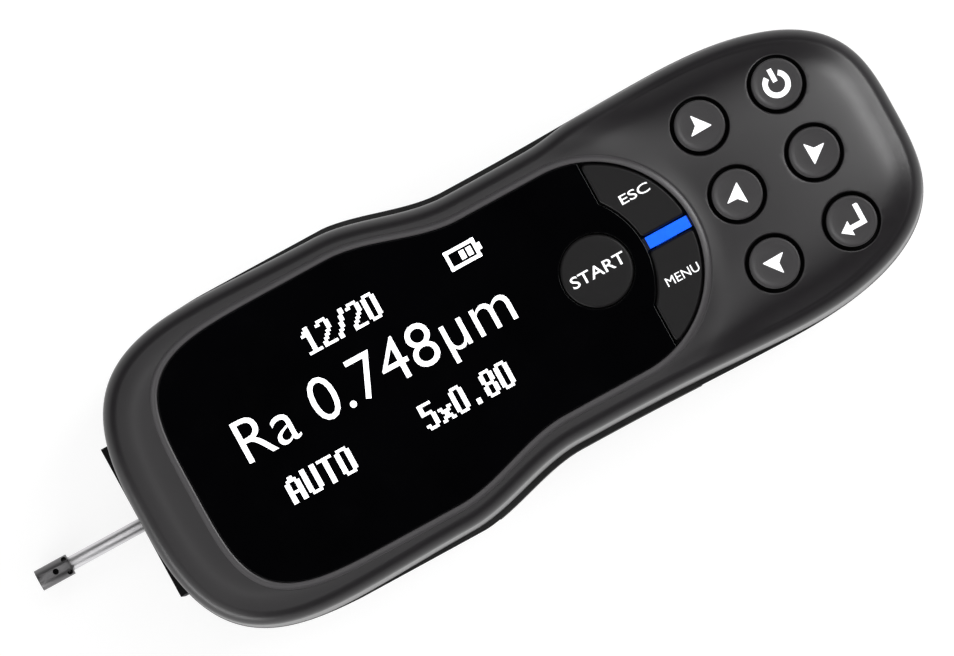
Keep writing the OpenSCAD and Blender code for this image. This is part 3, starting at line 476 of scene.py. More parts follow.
def finish_piece(piece, body, material, angle=35):
    piece.data.polygons.foreach_set("use_smooth", [True] * len(piece.data.polygons))
    piece.data.set_sharp_from_angle(angle=math.radians(angle))
    normals = piece.modifiers.new("normals", "WEIGHTED_NORMAL")
    normals.keep_sharp = True
    if material:
        piece.data.materials.clear()
        piece.data.materials.append(material)
    if body:
        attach(piece, body)


def evaluated_mesh(made):
    depsgraph = bpy.context.evaluated_depsgraph_get()
    depsgraph.update()
    return bpy.data.meshes.new_from_object(made.evaluated_get(depsgraph))


def cut(piece, cutters):
    """Takes closed forms out of a piece."""
    mesh = form_mesh("cutter", joined(cutters))
    tool = add_object("cutter", mesh)
    change = piece.modifiers.new("cut", "BOOLEAN")
    change.operation, change.object, change.solver = "DIFFERENCE", tool, "EXACT"
    change.use_self = True
    result, old = evaluated_mesh(piece), piece.data
    piece.modifiers.clear()
    piece.data = result
    bpy.data.meshes.remove(old)
    bpy.data.objects.remove(tool)
    bpy.data.meshes.remove(mesh)


def islands(node):
    """Boxes of a node's separate solids."""
    bm = bmesh.new()
    bm.from_mesh(nodes[node].data)
    bmesh.ops.remove_doubles(bm, verts=bm.verts, dist=1e-7)
    left, boxes = set(bm.verts), []
    while left:
        grow, found = [left.pop()], []
        while grow:
            v = grow.pop()
            found.append(np.array(v.co) / MM)
            for e in v.link_edges:
                other = e.other_vert(v)
                if other in left:
                    left.remove(other)
                    grow.append(other)
        boxes.append((np.min(found, 0), np.max(found, 0)))
    bm.free()
    return sorted(boxes, key=lambda b: tuple(b[0]))


# Materials
noise_span = (0.3, 0.7)


def srgb(*c):
    """A colour given as 0 to 255, as linear values."""
    return tuple(((v / 255 + 0.055) / 1.055) ** 2.4 if v > 10 else v / 255 / 12.92 for v in c) + (1,)


def set_inputs(tree, node, inputs):
    """Fills a shader node's inputs with values, or links them to sockets."""
    for key, value in inputs.items():
        if isinstance(value, bpy.types.NodeSocket):
            tree.links.new(value, node.inputs[key])
        else:
            node.inputs[key].default_value = value


def add_node(tree, kind, inputs=None, **settings):
    node = tree.nodes.new("ShaderNode" + kind)
    for key, value in settings.items():
        setattr(node, key, value)
    set_inputs(tree, node, inputs or {})
    return node


class Paint:
    """A node material with its shader, built up by short calls."""

    def __init__(self, name, colour, roughness, metallic=0.0, specular=0.5):
        self.material = bpy.data.materials.new(name)
        self.material.use_nodes = True
        self.tree = self.material.node_tree
        self.shader = self.tree.nodes["Principled BSDF"]
        self.colour, self.roughness = srgb(*colour), roughness
        self.set("Base Color", self.colour).set("Roughness", roughness)
        self.set("Metallic", metallic).set("Specular IOR Level", specular)
        self.place = add_node(self.tree, "TexCoord").outputs["Object"]

    def set(self, key, value):
        set_inputs(self.tree, self.shader, {key: value})
        return self

    def noise(self, grain_mm, stretch, detail=3.0):
        place = self.place
        if stretch:
            mapping = add_node(self.tree, "Mapping", {"Vector": place, "Scale": stretch})
            place = mapping.outputs["Vector"]
        values = {"Vector": place, "Scale": 1 / (grain_mm * MM), "Detail": detail}
        return add_node(self.tree, "TexNoise", values).outputs["Fac"]

    def mottle(self, grain_mm, share, stretch=None):
        """Varies the colour a little, lighter and darker."""
        ramp = add_node(self.tree, "ValToRGB", {"Fac": self.noise(grain_mm, stretch)})
        darker, lighter = ramp.color_ramp.elements
        darker.position, lighter.position = noise_span
        for stop, k in ((darker, 1 - share), (lighter, 1 + share)):
            stop.color = tuple(c * k for c in self.colour[:3]) + (1,)
        return self.set("Base Color", ramp.outputs["Color"])

    def scuff(self, grain_mm, spread, stretch=None):
        """Varies the roughness about its mean."""
        low, high = noise_span
        values = {"Value": self.noise(grain_mm, stretch), "From Min": low, "From Max": high}
        values["To Min"] = max(0.02, self.roughness - spread)
        values["To Max"] = self.roughness + spread
        span = add_node(self.tree, "MapRange", values)
        return self.set("Roughness", span.outputs["Result"])

    def grain(self, grain_mm, depth_mm, strength=1.0, stretch=None):
        """Fine relief of the surface."""
        values = {"Strength": strength, "Distance": depth_mm * MM}
        values["Height"] = self.noise(grain_mm, stretch, 2.0)
        bump = add_node(self.tree, "Bump", values)
        return self.set("Normal", bump.outputs["Normal"])

    def glow(self, colour, strength):
        return self.set("Emission Color", srgb(*colour)).set("Emission Strength", strength)


def plastic(name, colour, roughness, grain_mm=0.35, depth_mm=0.012, share=0.08, specular=0.5):
    """Moulded plastic or rubber with a fine grain."""
    paint = Paint(name, colour, roughness, specular=specular)
    return paint.mottle(9, share).scuff(1.6, 0.05).grain(grain_mm, depth_mm).material


def satin(name, colour, roughness):
    """Satin paint with a very fine grain."""
    return Paint(name, colour, roughness).mottle(9, 0.05).scuff(1.6, 0.015).grain(0.3, 0.005).material


def glass(name, colour, roughness, cloud_mm, share, smear_mm, specular=0.5):
    paint = Paint(name, colour, roughness, specular=specular)
    return paint.mottle(cloud_mm, share).scuff(smear_mm, 0.03).material


def lit(name, colour, roughness, grain_mm, share, shine, strength):
    """Print given a painted glow, and lit glass that glows a little."""
    return Paint(name, colour, roughness).mottle(grain_mm, share).glow(shine, strength).material


def metal(name, colour, roughness, stretch=(1, 1, 1)):
    paint = Paint(name, colour, roughness, metallic=1.0).mottle(2.5, 0.06, stretch)
    return paint.scuff(0.8, 0.06, stretch).grain(0.2, 0.004, 0.6, stretch).material


drawn, wound = (0.05, 1, 1), (1, 20, 1)
print_and_glow_white, dot_white = (236, 236, 238), (250, 250, 252)
shell_grey = satin("shell_grey", (29, 27, 29), 0.34)
frame_grey = satin("frame_grey", (60, 58, 60), 0.36)
case_black = plastic("case_black", (12, 12, 13), 0.5, 0.3, 0.015, specular=0.35)
lens_black = glass("lens_black", (2, 2, 3), 0.06, 14, 0.3, 6, specular=0.35)
key_dark = plastic("key_dark", (16, 15, 16), 0.44, 0.25, 0.006, specular=0.2)
key_grey = plastic("key_grey", (38, 36, 38), 0.4, 0.25, 0.006)
# Matt black: painted shade on the key skirts in their gaps, and the black of the small screws in the
# nosepiece
black_and_painted_shade = plastic("black_and_painted_shade", (4, 4, 4), 0.8, 0.3, 0.01, specular=0.1)
# White key print that glows a little: painted light, since the print is no lamp
mark_white = lit("mark_white", print_and_glow_white, 0.55, 1.5, 0.04, print_and_glow_white, 0.55)
screen_white = lit("screen_white", dot_white, 0.5, 0.8, 0.03, dot_white, 1.0)
guide_blue = lit("guide_blue", (14, 84, 240), 0.2, 2.0, 0.15, (16, 92, 250), 0.8)
rubber_black = plastic("rubber_black", (15, 15, 15), 0.75, 0.2, 0.03)
screw_steel = metal("screw_steel", (150, 150, 152), 0.3)
tip_steel = metal("tip_steel", (112, 111, 112), 0.42, drawn)
tube_steel = metal("tube_steel", (212, 211, 213), 0.4, drawn)
plate_black = plastic("plate_black", (6, 6, 7), 0.7, 0.3, 0.01, specular=0.2)
rod_steel = metal("rod_steel", (222, 221, 223), 0.24, drawn)
brass = metal("brass", (196, 160, 92), 0.3, drawn)
frame_alloy = metal("frame_alloy", (165, 167, 170), 0.4, drawn)
socket_steel = metal("socket_steel", (170, 170, 172), 0.28)
coil_copper = metal("coil_copper", (190, 120, 75), 0.35, wound)
board_green = plastic("board_green", (24, 82, 50), 0.4, 1.2, 0.02, 0.25)
component_black = plastic("component_black", (26, 26, 27), 0.6, 0.2, 0.02)
led_white = plastic("led_white", (228, 226, 210), 0.3)
panel_glass = glass("panel_glass", (8, 9, 12), 0.08, 5, 0.2, 4)
battery_wrap = plastic("battery_wrap", (42, 62, 100), 0.35, 2.0, 0.03)
gear_nylon = plastic("gear_nylon", (222, 220, 206), 0.45)
diamond = Paint("diamond", (60, 62, 66), 0.08, specular=0.9).mottle(0.1, 0.2).material

# Top shell: lofted from the window's edge out to the rim, down to the seam and back inside


def top_outside(rim):
    """Rings from the window's seat to the upper edge of the side wall."""
    edge_end = math.pi / 2 - rim_slope
    rim_loop = grown(rim, -draft - edge_r * (1 - math.cos(edge_end)))
    crest = grown(lens_loop, lens_gap + bezel[-1][0])
    crest_z = top_height(crest)
    rings = [ring_at(grown(lens_loop, lens_gap), lens_z)]
    for out, sunk in bezel:
        rings.append(ring_at(grown(lens_loop, lens_gap + out), crest_z - sunk))
    for share in np.linspace(0, 1, top_steps)[1:] ** top_ease:
        loop = crest * (1 - share) + rim_loop * share
        rings.append(ring_at(loop, top_height(loop)))
    rim_z = rings[-1][:, 2]
    for a in np.linspace(edge_end, 0, edge_steps)[1:]:
        loop = grown(rim, -draft - edge_r * (1 - math.cos(a)))
        rings.append(ring_at(loop, rim_z - edge_r * (math.sin(edge_end) - math.sin(a))))
    return rings


def top_wall(rim, wall_z):
    """Rings of the side wall down to the seam."""
    rings = []
    for s in np.linspace(0, 1, wall_steps)[1:-1]:
        loop = grown(rim, -draft * (1 - s))
        rings.append(ring_at(loop, wall_z * (1 - s) + seam_z * s))
    rings.append(ring_at(rim, seam_z + top_seam_edge))
    rings.append(ring_at(grown(rim, -top_seam_edge), seam_z))
    return rings


def top_inside():
    """Rings of the lip's step, the inner wall and the ceiling."""
    step_z = seam_z + lip_h + fit_gap
    inner_edge = ledge_z - edge_r - inner_edge_drop
    rings = [ring_at(grown(outline, -wall / 2), z) for z in (seam_z, step_z)]
    rings.append(lowered(grown(outline, -wall), step_z))
    for a in np.linspace(0, math.pi / 2, ceiling_steps):
        loop = grown(outline, -wall - draft - edge_r * (1 - math.cos(a)))
        rings.append(lowered(loop, inner_edge + edge_r * math.sin(a)))
    rings.append(lowered(grown(outline, -wall - rim_w), ledge_z))
    return rings


def hole_cutter(at):
    """A key hole whose rounded lip follows the top surface."""
    hole, pocket = key_r + key_gap, key_r + key_flange + fit_gap
    mouth = hole + hole_lip + hole_mouth
    profile = [(pocket, -hole_deep), (pocket, -key_web), (hole, -key_web)]
    profile += [(hole + hole_lip * (1 - math.cos(a)), -hole_lip * (1 - math.sin(a))) for a in lip_angles]
    profile += [(mouth, fit_gap), (mouth, hole_past)]
    level = top_height(at[None, :2])[0]
    rings = lathe(profile, at, key_facets)
    for ring, (_, dz) in zip(rings, profile):
        ring[:, 2] = dz + (top_height(ring[:, :2]) if dz > -key_web else level)
    return stack(rings)


def window_key_cutters():
    """Openings for the window's keys, with room below for their flanges."""
    hole, flange = start_r + corner_gap, key_flange + corner_gap
    cutters = [stack(lathe([(hole, ledge_z - ledge_past), (hole, top_z + past)], start_at))]
    for sign in (1, -1):
        opening = corner_loop(lens_gap, corner_gap, corner_gap, sign)
        cutters.append(upright(opening, ledge_z - ledge_past, top_z - past))
        room = corner_loop(flange, flange, lens_gap, sign)
        cutters.append(upright(room, ledge_z - flange_room, ledge_z))
    return cutters


def set_in_cutters():
    """Openings for the display, the light strip and the charge socket."""
    panel_low, panel_high = mm_box("display_panel")
    socket_low, socket_high = mm_box("charge_socket")
    view_low, view_high = [view_frame, view_frame, -past], [-view_frame, -view_frame, view_past]
    guide_low = [guide_neck_from, -guide_neck, ledge_z - guide_past]
    guide_high = [guide_neck_to, guide_neck, lens_z + fit_gap]
    socket_out = [socket_past, 0, 0]
    return [
        box_form(panel_low + view_low, panel_high + view_high),
        box_form(guide_low, guide_high),
        box_form(socket_low - socket_gap, socket_high + socket_gap + socket_out),
    ]


def case_top():
    rim = stepped(outline)
    rings = top_outside(rim)
    rings += top_wall(rim, rings[-1][:, 2])
    rings += top_inside()
    top = new_piece("case_top", stack(rings, mirror_shift))
    cut(top, [hole_cutter(middle(node)) for node in round_keys] + window_key_cutters() + set_in_cutters())
    finish_piece(top, "case", shell_grey, angle=32)
    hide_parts("top_shell")


# Bottom shell


def base_rings():
    seam, lip_z = seam_z - seam_gap, seam_z + lip_h
    lip = grown(outline, -wall / 2 - fit_gap)
    rings = []
    for a in np.linspace(math.pi / 2, 0, base_steps):
        loop = grown(outline, -draft - base_r * (1 - math.cos(a)))
        rings.append(ring_at(loop, base_z + base_r * (1 - math.sin(a))))
    rings += [ring_at(outline, seam - base_seam_edge), ring_at(grown(outline, -base_seam_edge), seam)]
    rings += [ring_at(lip, seam), ring_at(lip, lip_z), ring_at(grown(outline, -wall), lip_z)]
    for a in np.linspace(0, math.pi / 2, floor_steps):
        loop = grown(outline, -wall - draft - base_r * (1 - math.cos(a)))
        rings.append(ring_at(loop, base_z + floor_t + base_r * (1 - math.sin(a))))
    return rings


def base_cutters():
    """The front plate's seat, the pickup's opening, screw wells and seats for the feet."""
    plate_seat = box_form(plate_low - [past + fit_gap, fit_gap, fit_gap], plate_high + [0, fit_gap, fit_gap])
    cutters = [plate_seat, rod_form(nose_x - past, nose_x + pickup_hole_l, pickup_hole_r, tube_z)]
    for low, high in islands("case_screws"):
        r = (high[0] - low[0]) / 2 + well_gap
        out = r + well_edge
        well = [(out, -past), (out, base_z), (r, base_z + well_edge), (r, low[2] + case_head_h)]
        cutters.append(stack(lathe(well, (low + high) / 2)))
    for low, high in islands("rubber_feet"):
        r = (high[0] - low[0]) / 2 + fit_gap
        cutters.append(stack(lathe([(r, -past), (r, high[2])], (low + high) / 2)))
    return cutters


def case_bottom():
    bottom = new_piece("case_bottom", stack(base_rings(), mirror_shift))
    cut(bottom, base_cutters())
    finish_piece(bottom, "case", case_black, angle=32)
    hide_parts("bottom_shell")


# Trim


def seam_bead():
    """A soft black bead that fills the gap between the two shells."""
    z, half_t = seam_z - seam_gap / 2, seam_gap / 2 - bead_gap
    section = [(-bead_in, -half_t), (-bead_in, half_t)]
    for a in np.linspace(0, math.pi, bead_steps):
        section.append((bead_proud * math.sin(a), half_t * math.cos(a)))
    rings = []
    for out, up in section:
        loop = np.clip(grown(outline, out), [nose_x, -head_half], [tail_x, head_half])
        rings.append(ring_at(loop, z + up))
    new_piece("seam_bead", hoop(rings), "case", rubber_black, angle=50)


def window_frame():
    """A thin raised rim, a little paler than the shell, all round the window."""
    rings = []
    for out, up in frame_section:
        loop = grown(lens_loop, lens_gap + out)
        rings.append(ring_at(loop, top_height(loop) + up))
    new_piece("window_frame", hoop(rings), "case", frame_grey, angle=50)


def grip_pad(name, node, sign):
    """A rubber pad with lengthwise grooves that follows the waist of the case."""
    low, high = mm_box(node)
    xs = np.linspace(low[0] + pad_end, high[0] - pad_end, pad_columns)
    zs = np.linspace(low[2], high[2], pad_rows)
    half = body_half(xs)
    slope = np.gradient(half, xs)
    out_x, out_y = np.array([-slope, np.ones_like(slope)]) / np.hypot(slope, 1)
    x, z = np.meshgrid(xs, zs)
    inside = np.minimum(np.minimum(x - xs[0], xs[-1] - x), np.minimum(z - zs[0], zs[-1] - z))
    edge = np.clip(inside / pad_edge, 0, 1)
    face = pad_h * np.sqrt(1 - (1 - edge) ** 2)
    wave = (1 + np.cos(2 * math.pi * (z - middle(node)[2]) / rib_pitch)) / 2
    grooves = rib_h * smooth(2 * wave - rib_land) * smooth((inside - rib_margin) / rib_fade)
    rise = face - grooves
    front = np.stack([xs + out_x * rise, half + out_y * rise, z], 2)
    back = np.stack([x - out_x * pad_in, half - out_y * pad_in + 0 * x, z], 2)
    rings = [np.concatenate([f, b[::-1]]) * [1, sign, 1] for f, b in zip(front, back)]
    pad = new_piece(name, stack(rings, folded_shift), "case", rubber_black, angle=50)
    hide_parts(node)


def feet():
    """Four soft feet with a rounded edge and a ring groove underneath."""
    forms = []
    for low, high in islands("rubber_feet"):
        r = (high[0] - low[0]) / 2
        profile = [(r - foot_edge_in, high[2]), (r, high[2] - foot_edge_down)]
        profile += [(r - inset, z) for inset, z in foot_section] + [(foot_centre_r, 0)]
        forms.append(stack(lathe(profile, (low + high) / 2)))
    piece = new_piece("soft_feet", joined(forms), "case", rubber_black, angle=40)
    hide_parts("rubber_feet")


def pan_screw(long, head_r, head_h):
    """A pan head screw standing on its head, and the two bars of its cross recess."""
    shank_r, shoulder_z = shank_share * head_r, shoulder_share * head_h
    profile = [(shank_r, long), (shank_r, head_h), (head_r, head_h), (head_r, shoulder_z)]
    profile += [(head_r - crest_step * k * head_r, shoulder_z * (1 - k / 2) ** 2) for k in (0.5, 1, 1.5)]
    profile += [(crest_share * head_r, 0)]
    arm, slot, deep = recess_arm * head_r, recess_slot * head_r, recess_deep * head_h
    bars = [box_form((-w, -t, -past), (w, t, deep)) for w, t in ((arm, slot), (slot, arm))]
    return stack(lathe(profile, np.zeros(2), screw_facets)), bars


def screws(name, node, axis, head_h):
    """A node's screws, their heads towards the lower end of an axis."""
    forms, recesses = [], []
    across = min(k for k in range(3) if k != axis)
    for low, high in islands(node):
        foot = (low + high) / 2
        foot[axis] = low[axis]
        screw, bars = pan_screw(high[axis] - low[axis], (high[across] - low[across]) / 2, head_h)
        forms.append(laid(screw, axis, foot))
        recesses += [laid(bar, axis, foot) for bar in bars]
    piece = new_piece(name, joined(forms))
    cut(piece, recesses)
    finish_piece(piece, "case", screw_steel, angle=35)
    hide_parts(node)


def window():
    """One pane with a polished edge, cut away for the keys."""
    x0 = lens_end_x + corner_start - corner_gap
    inner, in_x = corner_in_r - corner_gap, lens_end_x - corner_in_back
    reach = guide_front - corner_gap - in_x
    b0, b1 = math.acos(min(1, reach / inner)), math.acos((x0 - in_x) / inner)
    bay = arc((in_x, 0), inner, -b1, -b0, arc_steps)
    half = [p for p in lens_loop[: len(lens_loop) // 2 + 1] if p[0] < x0 - lens_corner_room]
    half.append([x0, -math.sqrt(lens_end_r**2 - (x0 - lens_end_x) ** 2)])
    loop = rounded(mirrored(np.concatenate([half, bay])), lens_corner_r)
    pane = new_piece("window", stack(slab(loop, lens_z, lens_top, lens_edge)))
    hole = start_r + corner_gap
    profile = [(hole, lens_z - past)] + [(hole + out, lens_top + up) for out, up in flare]
    profile.append((hole + flare[-1][0], lens_top + past))
    cut(pane, [stack(lathe(profile, start_at, key_facets))])
    finish_piece(pane, "case", lens_black, angle=40)
    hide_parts("display_lens")


# Keys


def stem_profile(r, low_z, flange_z):
    """Stem and flange of a turned key, up to the foot of its cap."""
    under, out = flange_z - key_flange, r + key_flange
    return [(stem_r, low_z), (stem_r, under), (out, under), (out, flange_z), (r, flange_z)]


def paint_gap_shade(cap, below):
    """Paints the hidden skirt and flange of a cap matt black: painted shade for the dark gap round the key.
    """
    cap.data.materials.append(black_and_painted_shade)
    for face in cap.data.polygons:
        face.material_index = int(face.center.z / MM < below)


def new_cap(node, form, material):
    cap = new_piece(node.replace("_key", "_cap"), form, node, material, angle=40)
    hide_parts(node)
    return cap


def round_cap(node):
    low, high = mm_box(node)
    profile = stem_profile(key_r, low[2], high[2] - key_proud - key_web - flange_gap)
    profile += quarter(key_r, high[2], key_edge_in, key_edge_down)
    profile += [(r, high[2] - sunk) for r, sunk in key_dish]
    cap = new_cap(node, stack(lathe(profile, middle(node), key_facets)), key_grey)
    paint_gap_shade(cap, high[2] - gap_shade_drop)


def start_cap():
    low, high = mm_box("start_key")
    profile = stem_profile(start_r, low[2], ledge_z - flange_gap)
    profile += quarter(start_r, high[2], start_edge_in, start_edge_down) + [(start_flat_r, high[2])]
    new_cap("start_key", stack(lathe(profile, start_at, start_facets)), key_dark)


def corner_cap(node, sign):
    low, high = mm_box(node)
    flange_z, foot_z = ledge_z - flange_gap, ledge_z - corner_foot
    loop = rounded(corner_loop(lens_gap - corner_gap, 0, 0, sign), corner_round)
    cap = stack(slab(loop, foot_z, high[2], corner_edge, corner_edge_steps))
    flange = upright(corner_loop(key_flange, key_flange, 0, sign), flange_z - key_flange, flange_z)
    stem_at = np.array([corner_stem_x, corner_stem_y * sign])
    stem = stack(lathe([(stem_r, low[2]), (stem_r, foot_z)], stem_at, stem_facets))
    new_cap(node, joined([cap, flange, stem]), key_dark)


# Marks: thin raised forms on the caps and bright forms on the window

mark_h, screen_h, mark_sunk = 0.03, 0.02, 0.02
icon_turn = -25
arrow_shape = [[2.0, 0], [-1.5, 1.75], [-0.75, 0], [-1.5, -1.75]]
arrow_round = 0.12
power_outer, power_inner, power_gap = 2.3, 1.4, math.radians(34)
power_bar = rectangle(-0.4, 0.4, 0.4, 2.7)
hook_stem = [[1.8, 1.9], [1.1, 1.9], [1.1, -0.45], [-0.5, -0.45]]
hook_head = [[-0.5, 0.3], [-2.0, -0.8], [-0.5, -1.9], [-0.5, -1.15], [1.8, -1.15]]
hook_scale = 1.2


class Marks:
    """Flat forms gathered into one thin raised piece."""

    def __init__(self, z, thick=mark_h):
        self.z, self.thick = z, thick
        self.forms = []

    def form(self, loop):
        self.forms.append(upright(loop, self.z - mark_sunk, self.z + self.thick))
        return self

    def block(self, x0, y0, x1, y1):
        return self.form(rectangle(x0, y0, x1, y1))

    def word(self, text, centre, width, height, bold=0.0):
        """A word in Blender's own typeface, fitted to a box."""
        points, faces = word_form(text, bold)
        low, high = points.min(0), points.max(0)
        points = (points - (low + high) / 2) / (high - low) * [width, height, self.thick + mark_sunk]
        self.forms.append((points + [*centre, self.z + (self.thick - mark_sunk) / 2], faces))
        return self

    def piece(self, name, body, material, slot):
        new_piece(name, joined(self.forms), body, material)

    def on_key(self, node):
        self.piece(node.replace("_key", "_mark"), node, mark_white, "mark_white")


def word_form(text, bold):
    """Points and faces of a solid word, at the typeface's own size."""
    curve = bpy.data.curves.new("word", "FONT")
    curve.body = text
    curve.extrude = 0.5
    curve.offset = bold
    curve.resolution_u = 4
    holder = add_object("word", curve)
    mesh = evaluated_mesh(holder)
    closed = bmesh.new()
    closed.from_mesh(mesh)
    bmesh.ops.remove_doubles(closed, verts=closed.verts, dist=1e-5)
    closed.to_mesh(mesh)
    closed.free()
    points = np.array([v.co for v in mesh.vertices])
    faces = [tuple(p.vertices) for p in mesh.polygons]
    bpy.data.objects.remove(holder)
    bpy.data.curves.remove(curve)
    bpy.data.meshes.remove(mesh)
    return points, faces


def turned(loop, degrees, node):
    """A loop turned about its origin and set on the middle of a key."""
    a = math.radians(degrees)
    spin = np.array([[math.cos(a), math.sin(a)], [-math.sin(a), math.cos(a)]])
    return np.array(loop) @ spin + middle(node)[:2]


def dish_z(node):
    return mm_box(node)[1][2] - key_dish[-1][1]


def icon_marks():
    """Arrows, the power sign and the enter hook on the round keys."""
    arrow = rounded(arrow_shape, arrow_round)
    for node, degrees in (("right_key", 0), ("up_key", 90), ("left_key", 180), ("down_key", 270)):
        Marks(dish_z(node)).form(turned(arrow, degrees + icon_turn, node)).on_key(node)
    a0, a1 = math.pi / 2 + power_gap, math.pi * 2.5 - power_gap
    arcs = [arc((0, 0), power_outer, a0, a1, arc_steps), arc((0, 0), power_inner, a1, a0, arc_steps)]
    power = Marks(dish_z("power_key")).form(turned(np.concatenate(arcs), 0, "power_key"))
    power.form(turned(power_bar, 0, "power_key")).on_key("power_key")
    hook = np.array(hook_stem + hook_head) * hook_scale
    Marks(dish_z("enter_key")).form(turned(hook, 0, "enter_key")).on_key("enter_key")


def label_marks():
    """Words on the keys in the window: place, width, height and boldness."""
    labels = (
        ("start_key", "START", start_at[:2] + [0.2, 0], 9.7, 2.0, 0.008),
        ("escape_key", "ESC", (35.9, 8.1), 5.2, 1.6, 0.006),
        ("menu_key", "MENU", (36.45, -7.1), 5.9, 1.5, 0),
    )
    for node, text, centre, width, height, bold in labels:
        Marks(mm_box(node)[1][2]).word(text, centre, width, height, bold).on_key(node)


# Screen: a reading, a count, two settings and a battery sign
# A letter is nine rows of six dots, each row as two octal digits
glyphs = {
    "0": "36 63 63 63 63 63 63 63 36",
    "1": "14 34 74 14 14 14 14 14 77",
    "2": "36 63 03 03 06 14 30 60 77",
    "5": "77 60 60 76 03 03 03 63 36",
    "8": "36 63 63 63 36 63 63 63 36",
    "/": "03 03 06 06 14 14 30 60 60",
    "x": "00 00 00 00 63 36 14 36 63",
    ".": "00 00 00 00 00 00 00 14 14",
    "A": "14 36 63 63 63 77 63 63 63",
    "U": "63 63 63 63 63 63 63 63 36",
    "T": "77 14 14 14 14 14 14 14 14",
    "O": "36 63 63 63 63 63 63 63 36",
}
glyph_rows, glyph_step, dot_share = 9, 7, 0.96
dot_height = 4.5
dot_words = (("12/20", -22.4, 10.15, 13.6), ("AUTO", -36.2, -9.75, 12.0), ("5x0.80", -11.5, -9.8, 16.2))
battery_low, battery_high = (4.1, 11.0), (9.6, 14.4)
battery_rim, battery_knob, battery_knob_in = 0.6, 0.6, 1.1
cell_first, cell_pitch, cell_w, cell_in = 2.35, 1.25, 0.9, 0.95


def dotted(marks, text, x0, y0, width):
    """A word of square dots with its lower left corner at x0, y0."""
    across = width / (len(text) * glyph_step - 1)
    up = dot_height / glyph_rows
    for place, letter in enumerate(text):
        for row, code in enumerate(glyphs[letter].split()):
            for column, bit in enumerate(f"{int(code, 8):06b}"):
                if bit == "1":
                    x = x0 + (place * glyph_step + column) * across
                    y = y0 + (glyph_rows - 1 - row) * up
                    marks.block(x, y, x + across * dot_share, y + up * dot_share)


def battery_sign(marks):
    (x0, y0), (x1, y1), rim = battery_low, battery_high, battery_rim
    marks.block(x0, y0, x1, y0 + rim).block(x0, y1 - rim, x1, y1)
    marks.block(x0, y0, x0 + rim, y1).block(x1 - rim, y0, x1, y1)
    marks.block(x1, y0 + battery_knob_in, x1 + battery_knob, y1 - battery_knob_in)
    for k in range(2):
        x = x0 + cell_first + cell_pitch * k
        marks.block(x, y0 + cell_in, x + cell_w, y1 - cell_in)


def screen():
    marks = Marks(lens_top, screen_h)
    marks.word("Ra 0.748µm", (-14.7, 2.2), 49.3, 9.1, -0.006)
    for text, x0, y0, width in dot_words:
        dotted(marks, text, x0, y0, width)
    battery_sign(marks)
    marks.piece("screen_reading", "case", screen_white, "mark_white")


# Carried-over nodes get a finish and softened edges
finishes = (
    (guide_blue, "light_guide"),
    (plate_black, "front_plate"),
    (board_green, "main_board"),
    (screw_steel, "board_screws frame_screws"),
    (component_black, "key_switches board_chips display_carrier contact_plug"),
    (led_white, "status_led"),
    (panel_glass, "display_panel"),
    (socket_steel, "charge_socket"),
    (battery_wrap, "battery_pack"),
    (frame_alloy, "drive_frame carriage pickup_barrel"),
    (rod_steel, "guide_rods drive_motor drive_screw motor_shaft pivot_pin stylus_lever"),
    (brass, "screw_inserts screw_bushes gear_head motor_pinion carriage_bushes drive_nut"),
    (gear_nylon, "screw_gear"),
    (tube_steel, "pickup_tube"),
    (tip_steel, "nosepiece"),
    (coil_copper, "sensing_coil"),
    (diamond, "stylus_tip"),
)
fine_nodes = {"stylus_tip", "stylus_lever", "pivot_pin", "pickup_tube", "screw_gear", "motor_pinion"}
fine_bevel, plain_bevel = 0.02, 0.12


def dress(node, material):
    piece = nodes[node]
    piece.data.materials.clear()
    piece.data.materials.append(material)
    weld = piece.modifiers.new("weld", "WELD")
    weld.merge_threshold = 1e-6
    bevel = piece.modifiers.new("bevel", "BEVEL")
    bevel.width = (fine_bevel if node in fine_nodes else plain_bevel) * MM
    bevel.segments = 2
    bevel.limit_method = "ANGLE"
    bevel.angle_limit = math.radians(40)
    bevel.harden_normals = True


# Pickup: a set screw and two clamp pins in the nosepiece
tip_r = tip_high[1]
set_x, set_r, set_sunk = tip_low[0] + 0.55 * (tip_high[0] - tip_low[0]), 0.48, 0.06
pin_x, pin_y, pin_r, pin_proud, pin_foot = tip_high[0] - 0.6, 1.15, 0.45, 0.15, 0.3
tip_edge_in, tip_edge_down, tip_socket_deep = 0.06, 0.08, 0.2
tip_socket_share, tip_socket_end = 0.5, 0.45


def tip_screw(name, x, y, r, z0, z1):
    """A small black screw with a round socket in its head."""
    profile = [(r, z0), (r, z1 - tip_edge_down), (r - tip_edge_in, z1)]
    profile += [(r * tip_socket_share, z1), (r * tip_socket_end, z1 - tip_socket_deep)]
    form = stack(lathe(profile, np.array([x, y]), stem_facets))
    new_piece(name, form, "traverse", black_and_painted_shade)


# The black pins at the head's rear end are partly painted shade: they stand where the head steps up from the
# tube and throws shade.
def tip_screws():
    pin_top = tube_z + math.sqrt(tip_r**2 - pin_y**2) + pin_proud
    tip_screw("tip_set_screw", set_x, 0, set_r, tube_z + tube_r, tube_z + tip_r - set_sunk)
    for name, y in (("tip_pin_left", pin_y), ("tip_pin_right", -pin_y)):
        tip_screw(name, pin_x, y, pin_r, tube_z + pin_foot, pin_top)


# Stage: a white floor that keeps the shadow, soft boxes and a camera from above
floor_half, floor_tone, floor_shine = 3.0, 0.3, 0.8
sky_low, sky_high, ceiling, fill = 0.12, 0.42, 0.02, 0.25
aim, lamp_far = Vector((0.01, 0, 0.03)), 0.9

